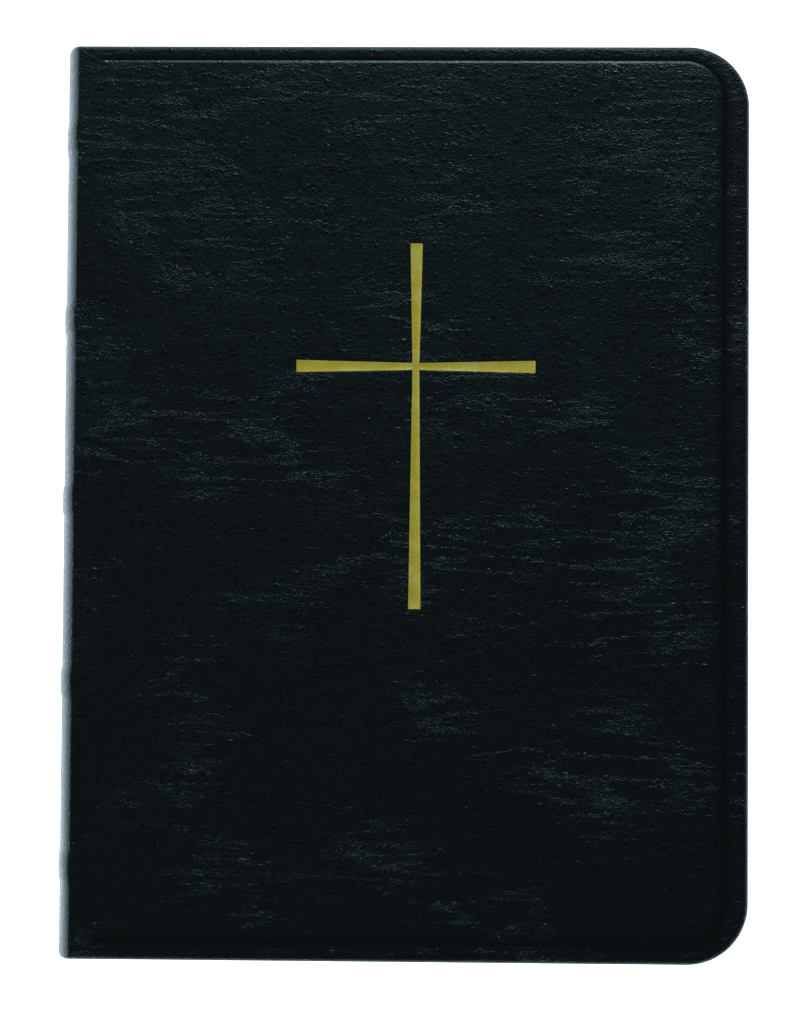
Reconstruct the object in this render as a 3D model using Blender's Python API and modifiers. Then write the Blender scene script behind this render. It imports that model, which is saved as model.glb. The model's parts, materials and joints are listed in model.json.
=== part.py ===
"""A flexible leather prayer book with a gold cross, as separate pieces on their hinges.

Frame: metres, +Z up. The book lies on its back cover. The origin is the centre of the footprint on
the resting surface, +X runs from the spine to the fore edge and +Y from the tail to the head.

Every hinge axis runs along Y. The book opens in the middle about an axis just outside its spine,
and distances from there towards the fore edge are called depths. A cover turns about an axis inside
its shoulder. The spine folds inward when the book opens in the middle, so what crosses mid-thickness
there (leather, lining, bands, headbands) is made as a front and a rear half.
"""

import math

import bmesh
import bpy

MM = 0.001

# Driving dimensions of the closed book.
COVER_HEIGHT = 155 * MM
COVER_WIDTH = 113.4 * MM
THICKNESS = 28 * MM
SQUARE = 2.75 * MM
COVER_CORNER = 10.3 * MM
LEAF_CORNER = 8.2 * MM

# The spine: an elliptical round back with five low bands under the leather.
ROUND_DEPTH = 2.9 * MM
SPINE_LEATHER = 0.7 * MM
BAND_RISE = 0.45 * MM
BAND_WIDTH = 3.4 * MM
BAND_PITCH = COVER_HEIGHT / 5
BAND_SHOULDER = 0.9 * MM
STRIP_THICKNESS = 0.3 * MM
LINING_THICKNESS = 0.3 * MM
JOINT_TURN = math.radians(84)

# Depths at mid-thickness, and where the covers turn.
BAND_DEPTH = 0.1 * MM
LEATHER_DEPTH = BAND_DEPTH + BAND_RISE
STRIP_BACK_DEPTH = 1.35 * MM
LINING_DEPTH = 1.45 * MM
BLOCK_DEPTH = 1.85 * MM
HEADBAND_DEPTH = 2.35 * MM
COVER_DEPTH = LEATHER_DEPTH + ROUND_DEPTH + 0.35 * MM
# Under half of the cover's depth, so that both covers can be folded right back at once.
COVER_HINGE_DEPTH = 1.85 * MM
# Far enough from the hinges that the two flyleaves pass each other with both covers folded back.
FLYLEAF_DEPTH = 4.8 * MM

# Layers of a cover, from its outer face inward.
COVER_THICKNESS = 1.7 * MM
OUTER_LEATHER = 0.75 * MM
BOARD_THICKNESS = 0.5 * MM
TURN_IN_THICKNESS = 0.25 * MM
TURN_IN_WIDTH = 7 * MM
HINGE_SIDE_WALL = 1.2 * MM
EDGE_WALL = 1 * MM
EDGE_BEVEL = 0.5 * MM
PASTEDOWN_THICKNESS = 0.2 * MM
LEAF_THICKNESS = 0.15 * MM
GAP = 0.1 * MM
LEAF_GAP = 0.15 * MM

# The text block.
SECTIONS_PER_HALF = 5
MIDDLE_LEAVES = 4
MIDDLE_SPACE = 0.6 * MM
LAYERS_PER_SECTION = 2
HEADBAND_RADIUS = 0.8 * MM

# The cross: four arms that widen from the crossing to their ends.
CROSS_X = 2.3 * MM
CROSS_Y = 22.8 * MM
CROSS_TOP = 20.9 * MM
CROSS_FOOT = 41 * MM
CROSS_SIDE = 20.2 * MM
CROSS_WAIST = 1.2 * MM
CROSS_END = 2.1 * MM
CROSS_RECESS = 0.35 * MM
FOIL_THICKNESS = 0.15 * MM
FOIL_CLEARANCE = 0.08 * MM

# Places that follow from the sizes above.
OVERALL_WIDTH = COVER_DEPTH + COVER_WIDTH - BAND_DEPTH
HINGE_X = -OVERALL_WIDTH / 2 - BAND_DEPTH
MID = THICKNESS / 2
HALF_HEIGHT = COVER_HEIGHT / 2
FLYLEAF_OUTSIDE = COVER_THICKNESS + LEAF_GAP
BLOCK_FACE = FLYLEAF_OUTSIDE + LEAF_THICKNESS + LEAF_GAP
BLOCK_HALF_HEIGHT = HALF_HEIGHT - SQUARE
HINGE_OVERHANG = 0.15 * MM

LEATHER = ("leather", (0.012, 0.014, 0.017), 0.42, 0.0)
PAPER = ("paper", (0.86, 0.83, 0.74), 0.9, 0.0)
ENDPAPER = ("endpaper", (0.03, 0.03, 0.035), 0.7, 0.0)
BOARD = ("board", (0.45, 0.4, 0.33), 0.9, 0.0)
CLOTH = ("lining_cloth", (0.75, 0.72, 0.65), 0.95, 0.0)
SILK = ("headband_silk", (0.55, 0.45, 0.2), 0.6, 0.0)
FOIL = ("gold_foil", (0.62, 0.47, 0.14), 0.35, 0.9)


def clear_scene():
    """Removes every object of the open scene."""
    for obj in list(bpy.data.objects):
        bpy.data.objects.remove(obj, do_unlink=True)


def new_collection(name):
    """Adds a collection to the scene."""
    collection = bpy.data.collections.new(name)
    bpy.context.scene.collection.children.link(collection)
    return collection


def finish(obj, look):
    """Gives an object its material, a Principled BSDF made once for each look."""
    name, color, roughness, metallic = look
    material = bpy.data.materials.get(name)
    if material is None:
        material = bpy.data.materials.new(name)
        material.use_nodes = True
        shader = material.node_tree.nodes["Principled BSDF"]
        shader.inputs["Base Color"].default_value = (*color, 1)
        shader.inputs["Roughness"].default_value = roughness
        shader.inputs["Metallic"].default_value = metallic
    obj.data.materials.append(material)


def place(obj, collection, hinge):
    """Links an object and hangs it on its hinge, where it already lies at rest."""
    collection.objects.link(obj)
    obj.parent = hinge
    obj.matrix_parent_inverse = hinge.matrix_world.inverted()
    return obj


def hinge_at(name, depth, height, collection, parent=None):
    """An empty on a hinge axis, which runs along Y."""
    hinge = bpy.data.objects.new(name, None)
    hinge.empty_display_size = 0.01
    hinge.location = (HINGE_X + depth, 0, height)
    collection.objects.link(hinge)
    if parent is not None:
        bpy.context.view_layer.update()
        hinge.parent = parent
        hinge.matrix_parent_inverse = parent.matrix_world.inverted()
    bpy.context.view_layer.update()
    return hinge


def arc(center_x, center_y, radius, start, end, steps=8):
    """Points along a circular arc, both ends included."""
    turns = [math.radians(start + (end - start) * step / steps) for step in range(steps + 1)]
    return [(center_x + radius * math.cos(t), center_y + radius * math.sin(t)) for t in turns]


def page_outline(spine_x, fore_x, half_height, corner):
    """An oblong with square corners at the spine and round ones at the fore edge."""
    points = [(spine_x, half_height), (spine_x, -half_height)]
    points += arc(fore_x - corner, corner - half_height, corner, -90, 0)
    points += arc(fore_x - corner, half_height - corner, corner, 0, 90)
    return points


def flat_plate(name, outline, low, high):
    """A flat plate of any outline, as a filled 2D curve."""
    curve = bpy.data.curves.new(name, "CURVE")
    curve.dimensions = "2D"
    curve.fill_mode = "BOTH"
    curve.extrude = (high - low) / 2
    spline = curve.splines.new("POLY")
    spline.points.add(len(outline) - 1)
    for point, (x, y) in zip(spline.points, outline):
        point.co = (x, y, 0, 1)
    spline.use_cyclic_u = True
    obj = bpy.data.objects.new(name, curve)
    obj.location.z = (low + high) / 2
    return obj


def plate_mesh(name, outline, low, high):
    """The same plate as one closed mesh, for pieces that are cut or bevelled."""
    curve = flat_plate(name + "_outline", outline, low, high)
    bpy.context.scene.collection.objects.link(curve)
    graph = bpy.context.evaluated_depsgraph_get()
    mesh = bpy.data.meshes.new_from_object(curve.evaluated_get(graph))
    body = bmesh.new()
    body.from_mesh(mesh)
    bmesh.ops.remove_doubles(body, verts=body.verts, dist=0.01 * MM)
    bmesh.ops.recalc_face_normals(body, faces=body.faces)
    body.to_mesh(mesh)
    body.free()
    obj = bpy.data.objects.new(name, mesh)
    obj.location.z = (low + high) / 2
    bpy.data.objects.remove(curve, do_unlink=True)
    return obj


def loft(name, rings):
    """A closed body through rings of equally many points, with flat ends."""
    body = bmesh.new()
    rows = [[body.verts.new(point) for point in ring] for ring in rings]
    for lower, upper in zip(rows, rows[1:]):
        for index in range(len(lower)):
            after = (index + 1) % len(lower)
            body.faces.new((lower[index], lower[after], upper[after], upper[index]))
    body.faces.new(rows[0])
    body.faces.new(rows[-1])
    bmesh.ops.recalc_face_normals(body, faces=body.faces)
    mesh = bpy.data.meshes.new(name)
    body.to_mesh(mesh)
    body.free()
    return bpy.data.objects.new(name, mesh)


def back_turn(height):
    """The angle round the elliptical back at a height: 0 in the middle, 90 degrees at a cover."""
    return math.asin(max(-1.0, min(1.0, (height - MID) / MID)))


def back_shift(turn):
    """How far the round back lies towards the fore edge of its middle."""
    return ROUND_DEPTH * (1 - math.cos(turn))


def back_turns(start, end, steps):
    """Angles round the back between two heights."""
    first, last = back_turn(start), back_turn(end)
    return [first + (last - first) * step / steps for step in range(steps + 1)]


def back_point(depth, turn, y):
    """A point at a depth behind the round back's own surface."""
    return (HINGE_X + depth + back_shift(turn), y, MID + MID * math.sin(turn))


def cut(obj, cutter, cutters):
    """Cuts one mesh with another, which is kept out of the render."""
    cutters.objects.link(cutter)
    cutter.hide_render = True
    cutter.display_type = "WIRE"
    boolean = obj.modifiers.new(cutter.name, "BOOLEAN")
    boolean.object = cutter
    boolean.operation = "DIFFERENCE"


def band_rise(y):
    """How far the leather stands up at this place along the spine."""
    nearest = round(y / BAND_PITCH) * BAND_PITCH
    beyond = abs(y - nearest) - BAND_WIDTH / 2
    if beyond <= 0:
        return BAND_RISE
    if beyond >= BAND_SHOULDER:
        return 0.0
    return BAND_RISE * (1 + math.cos(math.pi * beyond / BAND_SHOULDER)) / 2


def spine_stations():
    """Places along the spine where the leather's surface is drawn, close together at the bands."""
    stations = {-HALF_HEIGHT, HALF_HEIGHT}
    for band in range(-2, 3):
        for side in (-1, 1):
            edge = band * BAND_PITCH + side * BAND_WIDTH / 2
            stations |= {edge, edge + side * BAND_SHOULDER / 2, edge + side * BAND_SHOULDER}
    return sorted(stations)


def spine_leather(name, side):
    """Half of the spine's leather, from mid-thickness over the shoulder to one cover."""
    steps = 9
    first = back_turn(MID + GAP / 2)
    turns = [side * (first + (JOINT_TURN - first) * step / steps) for step in range(steps + 1)]
    body = bmesh.new()
    rows = []
    for y in spine_stations():
        rise = band_rise(y)
        row = [back_point(LEATHER_DEPTH - rise * math.cos(turn), turn, y) for turn in turns]
        rows.append([body.verts.new(point) for point in row])
    for lower, upper in zip(rows, rows[1:]):
        for index in range(steps):
            body.faces.new((lower[index], upper[index], upper[index + 1], lower[index + 1]))
    # The leather thickens inward, so every face of the sheet has to look away from the pages.
    body.normal_update()
    if sum(face.normal.x for face in body.faces) > 0:
        bmesh.ops.reverse_faces(body, faces=body.faces)
    mesh = bpy.data.meshes.new(name)
    body.to_mesh(mesh)
    body.free()
    obj = bpy.data.objects.new(name, mesh)
    shell = obj.modifiers.new("leather", "SOLIDIFY")
    shell.thickness = SPINE_LEATHER
    shell.offset = -1
    shell.use_even_offset = True
    return obj


def back_strip(name, low, high, side, half_length, center_y, outer, inner):
    """A strip that wraps half of the round back between two depths, given for each angle."""
    rings = []
    for turn in back_turns(low, high, 8):
        around = side * turn
        ends = (center_y - half_length, center_y + half_length)
        corners = [(outer(turn), ends[0]), (outer(turn), ends[1]), (inner(turn), ends[1])]
        corners.append((inner(turn), ends[0]))
        rings.append([back_point(depth, around, y) for depth, y in corners])
    return loft(name, rings)


def headband(name, y, side):
    """Half of a headband: a silk roll that follows the round back, just past the leaves."""
    turns = back_turns(MID + GAP, THICKNESS - BLOCK_FACE, 8)
    curve = bpy.data.curves.new(name, "CURVE")
    curve.dimensions = "3D"
    curve.bevel_depth = HEADBAND_RADIUS
    curve.bevel_resolution = 2
    curve.use_fill_caps = True
    spline = curve.splines.new("POLY")
    spline.points.add(len(turns) - 1)
    for point, turn in zip(spline.points, turns):
        point.co = (*back_point(HEADBAND_DEPTH, side * turn, y), 1)
    return bpy.data.objects.new(name, curve)


def leaves(name, low, high):
    """Stacked leaves between two heights, each one slid along with the round of the back."""
    fore_depth = COVER_DEPTH + COVER_WIDTH - SQUARE - back_shift(back_turn(THICKNESS - BLOCK_FACE))
    outline = page_outline(
        HINGE_X + BLOCK_DEPTH, HINGE_X + fore_depth, BLOCK_HALF_HEIGHT, LEAF_CORNER
    )
    rings = []
    for layer in range(LAYERS_PER_SECTION + 1):
        height = low + (high - low) * layer / LAYERS_PER_SECTION
        shift = back_shift(back_turn(height))
        rings.append([(x + shift, y, height) for x, y in outline])
    return loft(name, rings)


def cross_outline(grow=0.0):
    """The cross, wider by the given amount all round, from the crossing's corners outward."""
    waist = CROSS_WAIST / 2 + grow
    end = CROSS_END / 2 + grow
    top, foot, reach = CROSS_TOP + grow, CROSS_FOOT + grow, CROSS_SIDE + grow
    points = [(waist, waist), (end, top), (-end, top), (-waist, waist)]
    points += [(-reach, end), (-reach, -end), (-waist, -waist), (-end, -foot)]
    points += [(end, -foot), (waist, -waist), (reach, -end), (reach, end)]
    return [(CROSS_X + x, CROSS_Y + y) for x, y in points]


def cover_outline(inset, hinge_inset):
    """A cover's outline, drawn in by an amount at the hinge side and another elsewhere."""
    corner = max(COVER_CORNER - inset, 1 * MM)
    return page_outline(
        HINGE_X + COVER_DEPTH + hinge_inset,
        HINGE_X + COVER_DEPTH + COVER_WIDTH - inset,
        HALF_HEIGHT - inset,
        corner,
    )


def cover_pieces(prefix, is_front, parts, cutters, hinge):
    """The pieces of one cover: leather with its turn-ins, board and pastedown."""

    def span(outside, inside):
        """Low and high for a layer given by its distances from the cover's outer face."""
        if is_front:
            return THICKNESS - inside, THICKNESS - outside
        return outside, inside

    leather = plate_mesh(prefix + "_cover_leather", cover_outline(0, 0), *span(0, COVER_THICKNESS))
    bevel = leather.modifiers.new("edge", "BEVEL")
    bevel.width = EDGE_BEVEL
    bevel.segments = 3
    bevel.limit_method = "ANGLE"
    bevel.angle_limit = math.radians(60)
    pocket_floor = COVER_THICKNESS - TURN_IN_THICKNESS
    pocket = plate_mesh(
        prefix + "_board_pocket",
        cover_outline(EDGE_WALL, HINGE_SIDE_WALL),
        *span(OUTER_LEATHER, pocket_floor),
    )
    opening = plate_mesh(
        prefix + "_turn_in_opening",
        cover_outline(TURN_IN_WIDTH, HINGE_SIDE_WALL),
        *span(pocket_floor - GAP, COVER_THICKNESS + 1 * MM),
    )
    cut(leather, pocket, cutters)
    cut(leather, opening, cutters)
    if is_front:
        recess = plate_mesh(
            "cross_recess", cross_outline(FOIL_CLEARANCE), *span(-1 * MM, CROSS_RECESS)
        )
        cut(leather, recess, cutters)
        foil_top = CROSS_RECESS - GAP - FOIL_THICKNESS
        foil = flat_plate("gold_cross", cross_outline(), *span(foil_top, CROSS_RECESS - GAP))
        finish(foil, FOIL)
        place(foil, parts, hinge)
    board_top = OUTER_LEATHER + GAP
    board = flat_plate(
        prefix + "_board",
        cover_outline(EDGE_WALL + GAP, HINGE_SIDE_WALL + GAP),
        *span(board_top, board_top + BOARD_THICKNESS),
    )
    pastedown = flat_plate(
        prefix + "_pastedown",
        cover_outline(TURN_IN_WIDTH + LEAF_GAP, HINGE_SIDE_WALL + LEAF_GAP),
        *span(pocket_floor, pocket_floor + PASTEDOWN_THICKNESS),
    )
    for piece, look in ((leather, LEATHER), (board, BOARD), (pastedown, ENDPAPER)):
        finish(piece, look)
        place(piece, parts, hinge)


def half_of_block(prefix, side, first_number, parts, hinge):
    """Half of the book's body: its sections and everything that holds their backs together."""

    def mirrored(height):
        """A height in this half, given for the front half."""
        return height if side > 0 else THICKNESS - height

    inner, outer = MID + MIDDLE_SPACE, THICKNESS - BLOCK_FACE
    pitch = (outer - inner + GAP) / SECTIONS_PER_HALF
    for index in range(SECTIONS_PER_HALF):
        top = outer - index * pitch
        heights = sorted((mirrored(top), mirrored(top - pitch + GAP)))
        number = first_number + (index if side > 0 else SECTIONS_PER_HALF - 1 - index)
        section = leaves(f"section_{number:02d}", *heights)
        finish(section, PAPER)
        place(section, parts, hinge)

    leather = spine_leather(f"spine_leather_{prefix}", side)
    finish(leather, LEATHER)
    place(leather, parts, hinge)

    lining = back_strip(
        f"spine_lining_{prefix}",
        MID + GAP,
        THICKNESS - BLOCK_FACE,
        side,
        BLOCK_HALF_HEIGHT - 1 * MM,
        0,
        lambda turn: LINING_DEPTH,
        lambda turn: LINING_DEPTH + LINING_THICKNESS,
    )
    finish(lining, CLOTH)
    place(lining, parts, hinge)

    for band in range(5):
        strip = back_strip(
            f"band_{band + 1}_{prefix}",
            MID + GAP,
            THICKNESS - BLOCK_FACE,
            side,
            BAND_WIDTH / 2 - GAP,
            (2 - band) * BAND_PITCH,
            lambda turn: STRIP_BACK_DEPTH - STRIP_THICKNESS * math.cos(turn),
            lambda turn: STRIP_BACK_DEPTH,
        )
        finish(strip, BOARD)
        place(strip, parts, hinge)

    for end, sign in (("headband", 1), ("tailband", -1)):
        y = sign * (BLOCK_HALF_HEIGHT + HEADBAND_RADIUS + GAP)
        roll = headband(f"{end}_{prefix}", y, side)
        finish(roll, SILK)
        place(roll, parts, hinge)


def single_leaf(name, low, start_depth, look, parts, hinge):
    """One leaf of a hinge of its own, flat at a height."""
    fore = COVER_DEPTH + COVER_WIDTH - SQUARE
    if look is PAPER:
        fore -= back_shift(back_turn(THICKNESS - BLOCK_FACE))
    outline = page_outline(HINGE_X + start_depth, HINGE_X + fore, BLOCK_HALF_HEIGHT, LEAF_CORNER)
    leaf = flat_plate(name, outline, low, low + LEAF_THICKNESS)
    finish(leaf, look)
    place(leaf, parts, hinge)


def build():
    """Builds the whole book."""
    clear_scene()
    parts = new_collection("prayer_book")
    cutters = new_collection("cutters")

    rear = hinge_at("text_block_rear_origin", 0, MID, parts)
    front = hinge_at("open_middle_axis", 0, MID, parts, rear)
    above, below = THICKNESS + HINGE_OVERHANG, -HINGE_OVERHANG
    front_cover = hinge_at("front_cover_axis", COVER_HINGE_DEPTH, above, parts, front)
    front_fly = hinge_at("front_flyleaf_axis", COVER_HINGE_DEPTH, above, parts, front)
    back_cover = hinge_at("back_cover_axis", COVER_HINGE_DEPTH, below, parts, rear)
    rear_fly = hinge_at("rear_flyleaf_axis", COVER_HINGE_DEPTH, below, parts, rear)

    half_of_block("front", 1, 1, parts, front)
    half_of_block("rear", -1, SECTIONS_PER_HALF + 1, parts, rear)
    cover_pieces("front", True, parts, cutters, front_cover)
    cover_pieces("back", False, parts, cutters, back_cover)

    fly_low = THICKNESS - FLYLEAF_OUTSIDE - LEAF_THICKNESS
    single_leaf("front_flyleaf", fly_low, FLYLEAF_DEPTH, ENDPAPER, parts, front_fly)
    single_leaf("rear_flyleaf", FLYLEAF_OUTSIDE, FLYLEAF_DEPTH, ENDPAPER, parts, rear_fly)

    pitch = LEAF_THICKNESS + GAP
    for index in range(MIDDLE_LEAVES):
        low = MID + (MIDDLE_LEAVES / 2 - 1 - index) * pitch + GAP / 2
        axis = hinge_at(f"leaf_{index + 1}_axis", 0, MID, parts, rear)
        single_leaf(f"leaf_{index + 1}", low, BLOCK_DEPTH, PAPER, parts, axis)


build()
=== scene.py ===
"""The looks of a leather prayer book with a gold cross, built round its fixed frame.

The book lies closed on its back cover. Its frame is in metres: +X runs from the spine to the fore
edge, +Y from the tail to the head and +Z up. The gold foil, the sections and the headbands ride on
the bodies that carry them. Surface maps are in millimetres.
"""

from __future__ import annotations

import json
import logging
import math
from collections import Counter
from dataclasses import dataclass
from enum import Enum
from typing import Callable

import bpy
from mathutils import Matrix, Vector, noise

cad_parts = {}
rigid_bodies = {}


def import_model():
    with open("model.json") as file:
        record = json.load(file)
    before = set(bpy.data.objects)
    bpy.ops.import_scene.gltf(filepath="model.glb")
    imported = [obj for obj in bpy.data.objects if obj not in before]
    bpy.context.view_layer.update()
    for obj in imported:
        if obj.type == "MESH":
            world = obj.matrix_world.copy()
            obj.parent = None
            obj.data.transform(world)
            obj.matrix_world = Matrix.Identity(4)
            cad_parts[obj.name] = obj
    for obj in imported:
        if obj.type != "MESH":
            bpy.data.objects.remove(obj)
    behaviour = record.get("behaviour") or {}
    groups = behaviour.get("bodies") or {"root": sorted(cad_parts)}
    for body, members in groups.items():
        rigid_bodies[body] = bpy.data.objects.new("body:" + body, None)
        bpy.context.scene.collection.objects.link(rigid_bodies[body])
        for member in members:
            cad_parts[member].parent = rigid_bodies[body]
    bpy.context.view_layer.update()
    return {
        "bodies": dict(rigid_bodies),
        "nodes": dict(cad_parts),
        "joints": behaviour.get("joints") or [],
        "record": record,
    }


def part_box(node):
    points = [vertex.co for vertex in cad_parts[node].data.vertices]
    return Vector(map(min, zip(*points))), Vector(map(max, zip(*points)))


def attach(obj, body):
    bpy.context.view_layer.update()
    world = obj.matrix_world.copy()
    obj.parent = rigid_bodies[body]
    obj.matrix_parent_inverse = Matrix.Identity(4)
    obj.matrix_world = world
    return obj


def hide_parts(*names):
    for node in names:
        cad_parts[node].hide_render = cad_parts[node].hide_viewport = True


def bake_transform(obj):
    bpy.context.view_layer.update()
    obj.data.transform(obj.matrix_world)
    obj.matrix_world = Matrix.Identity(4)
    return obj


LOG = logging.getLogger("prayer_book")
MM = 0.001
SURFACE_MAP = "surface"
BURNISH = "burnish"
BAND_NAMES = tuple(f"band_{number}" for number in range(1, 6))
SECTIONS = 10
LEAVES = 4
UP = Vector((0, 0, 1))
Color = tuple[float, float, float]
Socket = bpy.types.NodeSocket
Object = bpy.types.Object

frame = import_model()


class Half(Enum):
    """The two halves of the book: the front one lies on top."""

    FRONT = "front"
    REAR = "rear"

    @property
    def sign(self) -> int:
        """Which way the half lies from mid-thickness."""
        return 1 if self is Half.FRONT else -1

    @property
    def block(self) -> str:
        """The body that this half of the pages rides on."""
        return f"text_block_{self.value}"

    @property
    def cover(self) -> str:
        """The body of this half's cover."""
        return "front_cover" if self is Half.FRONT else "back_cover"


class End(Enum):
    """The two ends of the spine."""

    HEAD = 1
    TAIL = -1


def ease(value: float, start: float, end: float) -> float:
    """Goes smoothly from 0 at start to 1 at end."""
    share = min(1.0, max(0.0, (value - start) / (end - start)))
    return share * share * (3 - 2 * share)


def lerp(first: float, last: float, share: float) -> float:
    """The value a share of the way from the first to the last."""
    return first + (last - first) * share


# --------------------------------------------------------------------------------------------------
# Shader helpers and shared effects
# --------------------------------------------------------------------------------------------------


class Wiring:
    """A node tree while it is being wired."""

    def __init__(self, tree: bpy.types.NodeTree) -> None:
        """Takes the tree that the nodes go in."""
        self.tree = tree

    def node(self, kind: str, **settings: object) -> bpy.types.Node:
        """Adds a node.

        Args:
            kind: The node's type, without its ShaderNode prefix.
            **settings: Properties of the node.

        Returns:
            The new node.
        """
        made = self.tree.nodes.new("ShaderNode" + kind)
        for name, value in settings.items():
            setattr(made, name, value)
        return made

    def feed(self, target: Socket, value: object) -> None:
        """Links a socket to the target, or sets the target to a plain value."""
        if isinstance(value, bpy.types.NodeSocket):
            self.tree.links.new(value, target)
        else:
            target.default_value = value

    def math(self, operation: str, *values: object) -> Socket:
        """The result of a Math node on one to three values or sockets."""
        made = self.node("Math", operation=operation)
        for target, value in zip(made.inputs, values):
            self.feed(target, value)
        return made.outputs[0]

    def span(self, value: object, low: float, high: float, start: float, end: float) -> Socket:
        """Maps a value's range low to high smoothly onto start to end."""
        made = self.node("MapRange", interpolation_type="SMOOTHSTEP")
        for target, given in zip(made.inputs, (value, low, high, start, end)):
            self.feed(target, given)
        return made.outputs[0]

    def mix(self, share: object, first: object, second: object) -> Socket:
        """Mixes two colours by a share from 0 to 1."""
        made = self.node("Mix", data_type="RGBA")
        self.feed(made.inputs["Factor"], share)
        for name, given in (("A", first), ("B", second)):
            target = next(s for s in made.inputs if s.name == name and s.type == "RGBA")
            self.feed(target, (*given, 1.0) if isinstance(given, tuple) else given)
        return next(s for s in made.outputs if s.type == "RGBA")

    def stretch(self, vector: Socket, x: object, y: object, z: object = 1.0) -> Socket:
        """The vector with each direction multiplied by its own factor."""
        scale = self.node("CombineXYZ")
        for target, value in zip(scale.inputs, (x, y, z)):
            self.feed(target, value)
        made = self.node("VectorMath", operation="MULTIPLY")
        self.feed(made.inputs[0], vector)
        self.feed(made.inputs[1], scale.outputs[0])
        return made.outputs[0]

    def noise(self, vector: Socket, scale: object, detail: float = 2.0) -> Socket:
        """A cloudy value round 0.5."""
        made = self.node("TexNoise")
        self.feed(made.inputs["Vector"], vector)
        self.feed(made.inputs["Scale"], scale)
        made.inputs["Detail"].default_value = detail
        return made.outputs["Fac"]


def effect(
    name: str, inputs: dict[str, object], outputs: tuple[str, ...]
) -> tuple[bpy.types.NodeTree, Wiring, bpy.types.Node, bpy.types.Node]:
    """Starts a shared effect, a node group with named inputs and outputs.

    Args:
        name: The group's name.
        inputs: Each input's name and its starting value, a number or None for a vector.
        outputs: Names of the values that come out.

    Returns:
        The group, its wiring, and its input and output nodes.
    """
    tree = bpy.data.node_groups.new(name, "ShaderNodeTree")
    for label, value in inputs.items():
        kind = "NodeSocketVector" if value is None else "NodeSocketFloat"
        socket = tree.interface.new_socket(label, in_out="INPUT", socket_type=kind)
        if value is not None:
            socket.default_value = value
    for label in outputs:
        tree.interface.new_socket(label, in_out="OUTPUT", socket_type="NodeSocketFloat")
    start = tree.nodes.new("NodeGroupInput")
    end = tree.nodes.new("NodeGroupOutput")
    return tree, Wiring(tree), start, end


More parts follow.
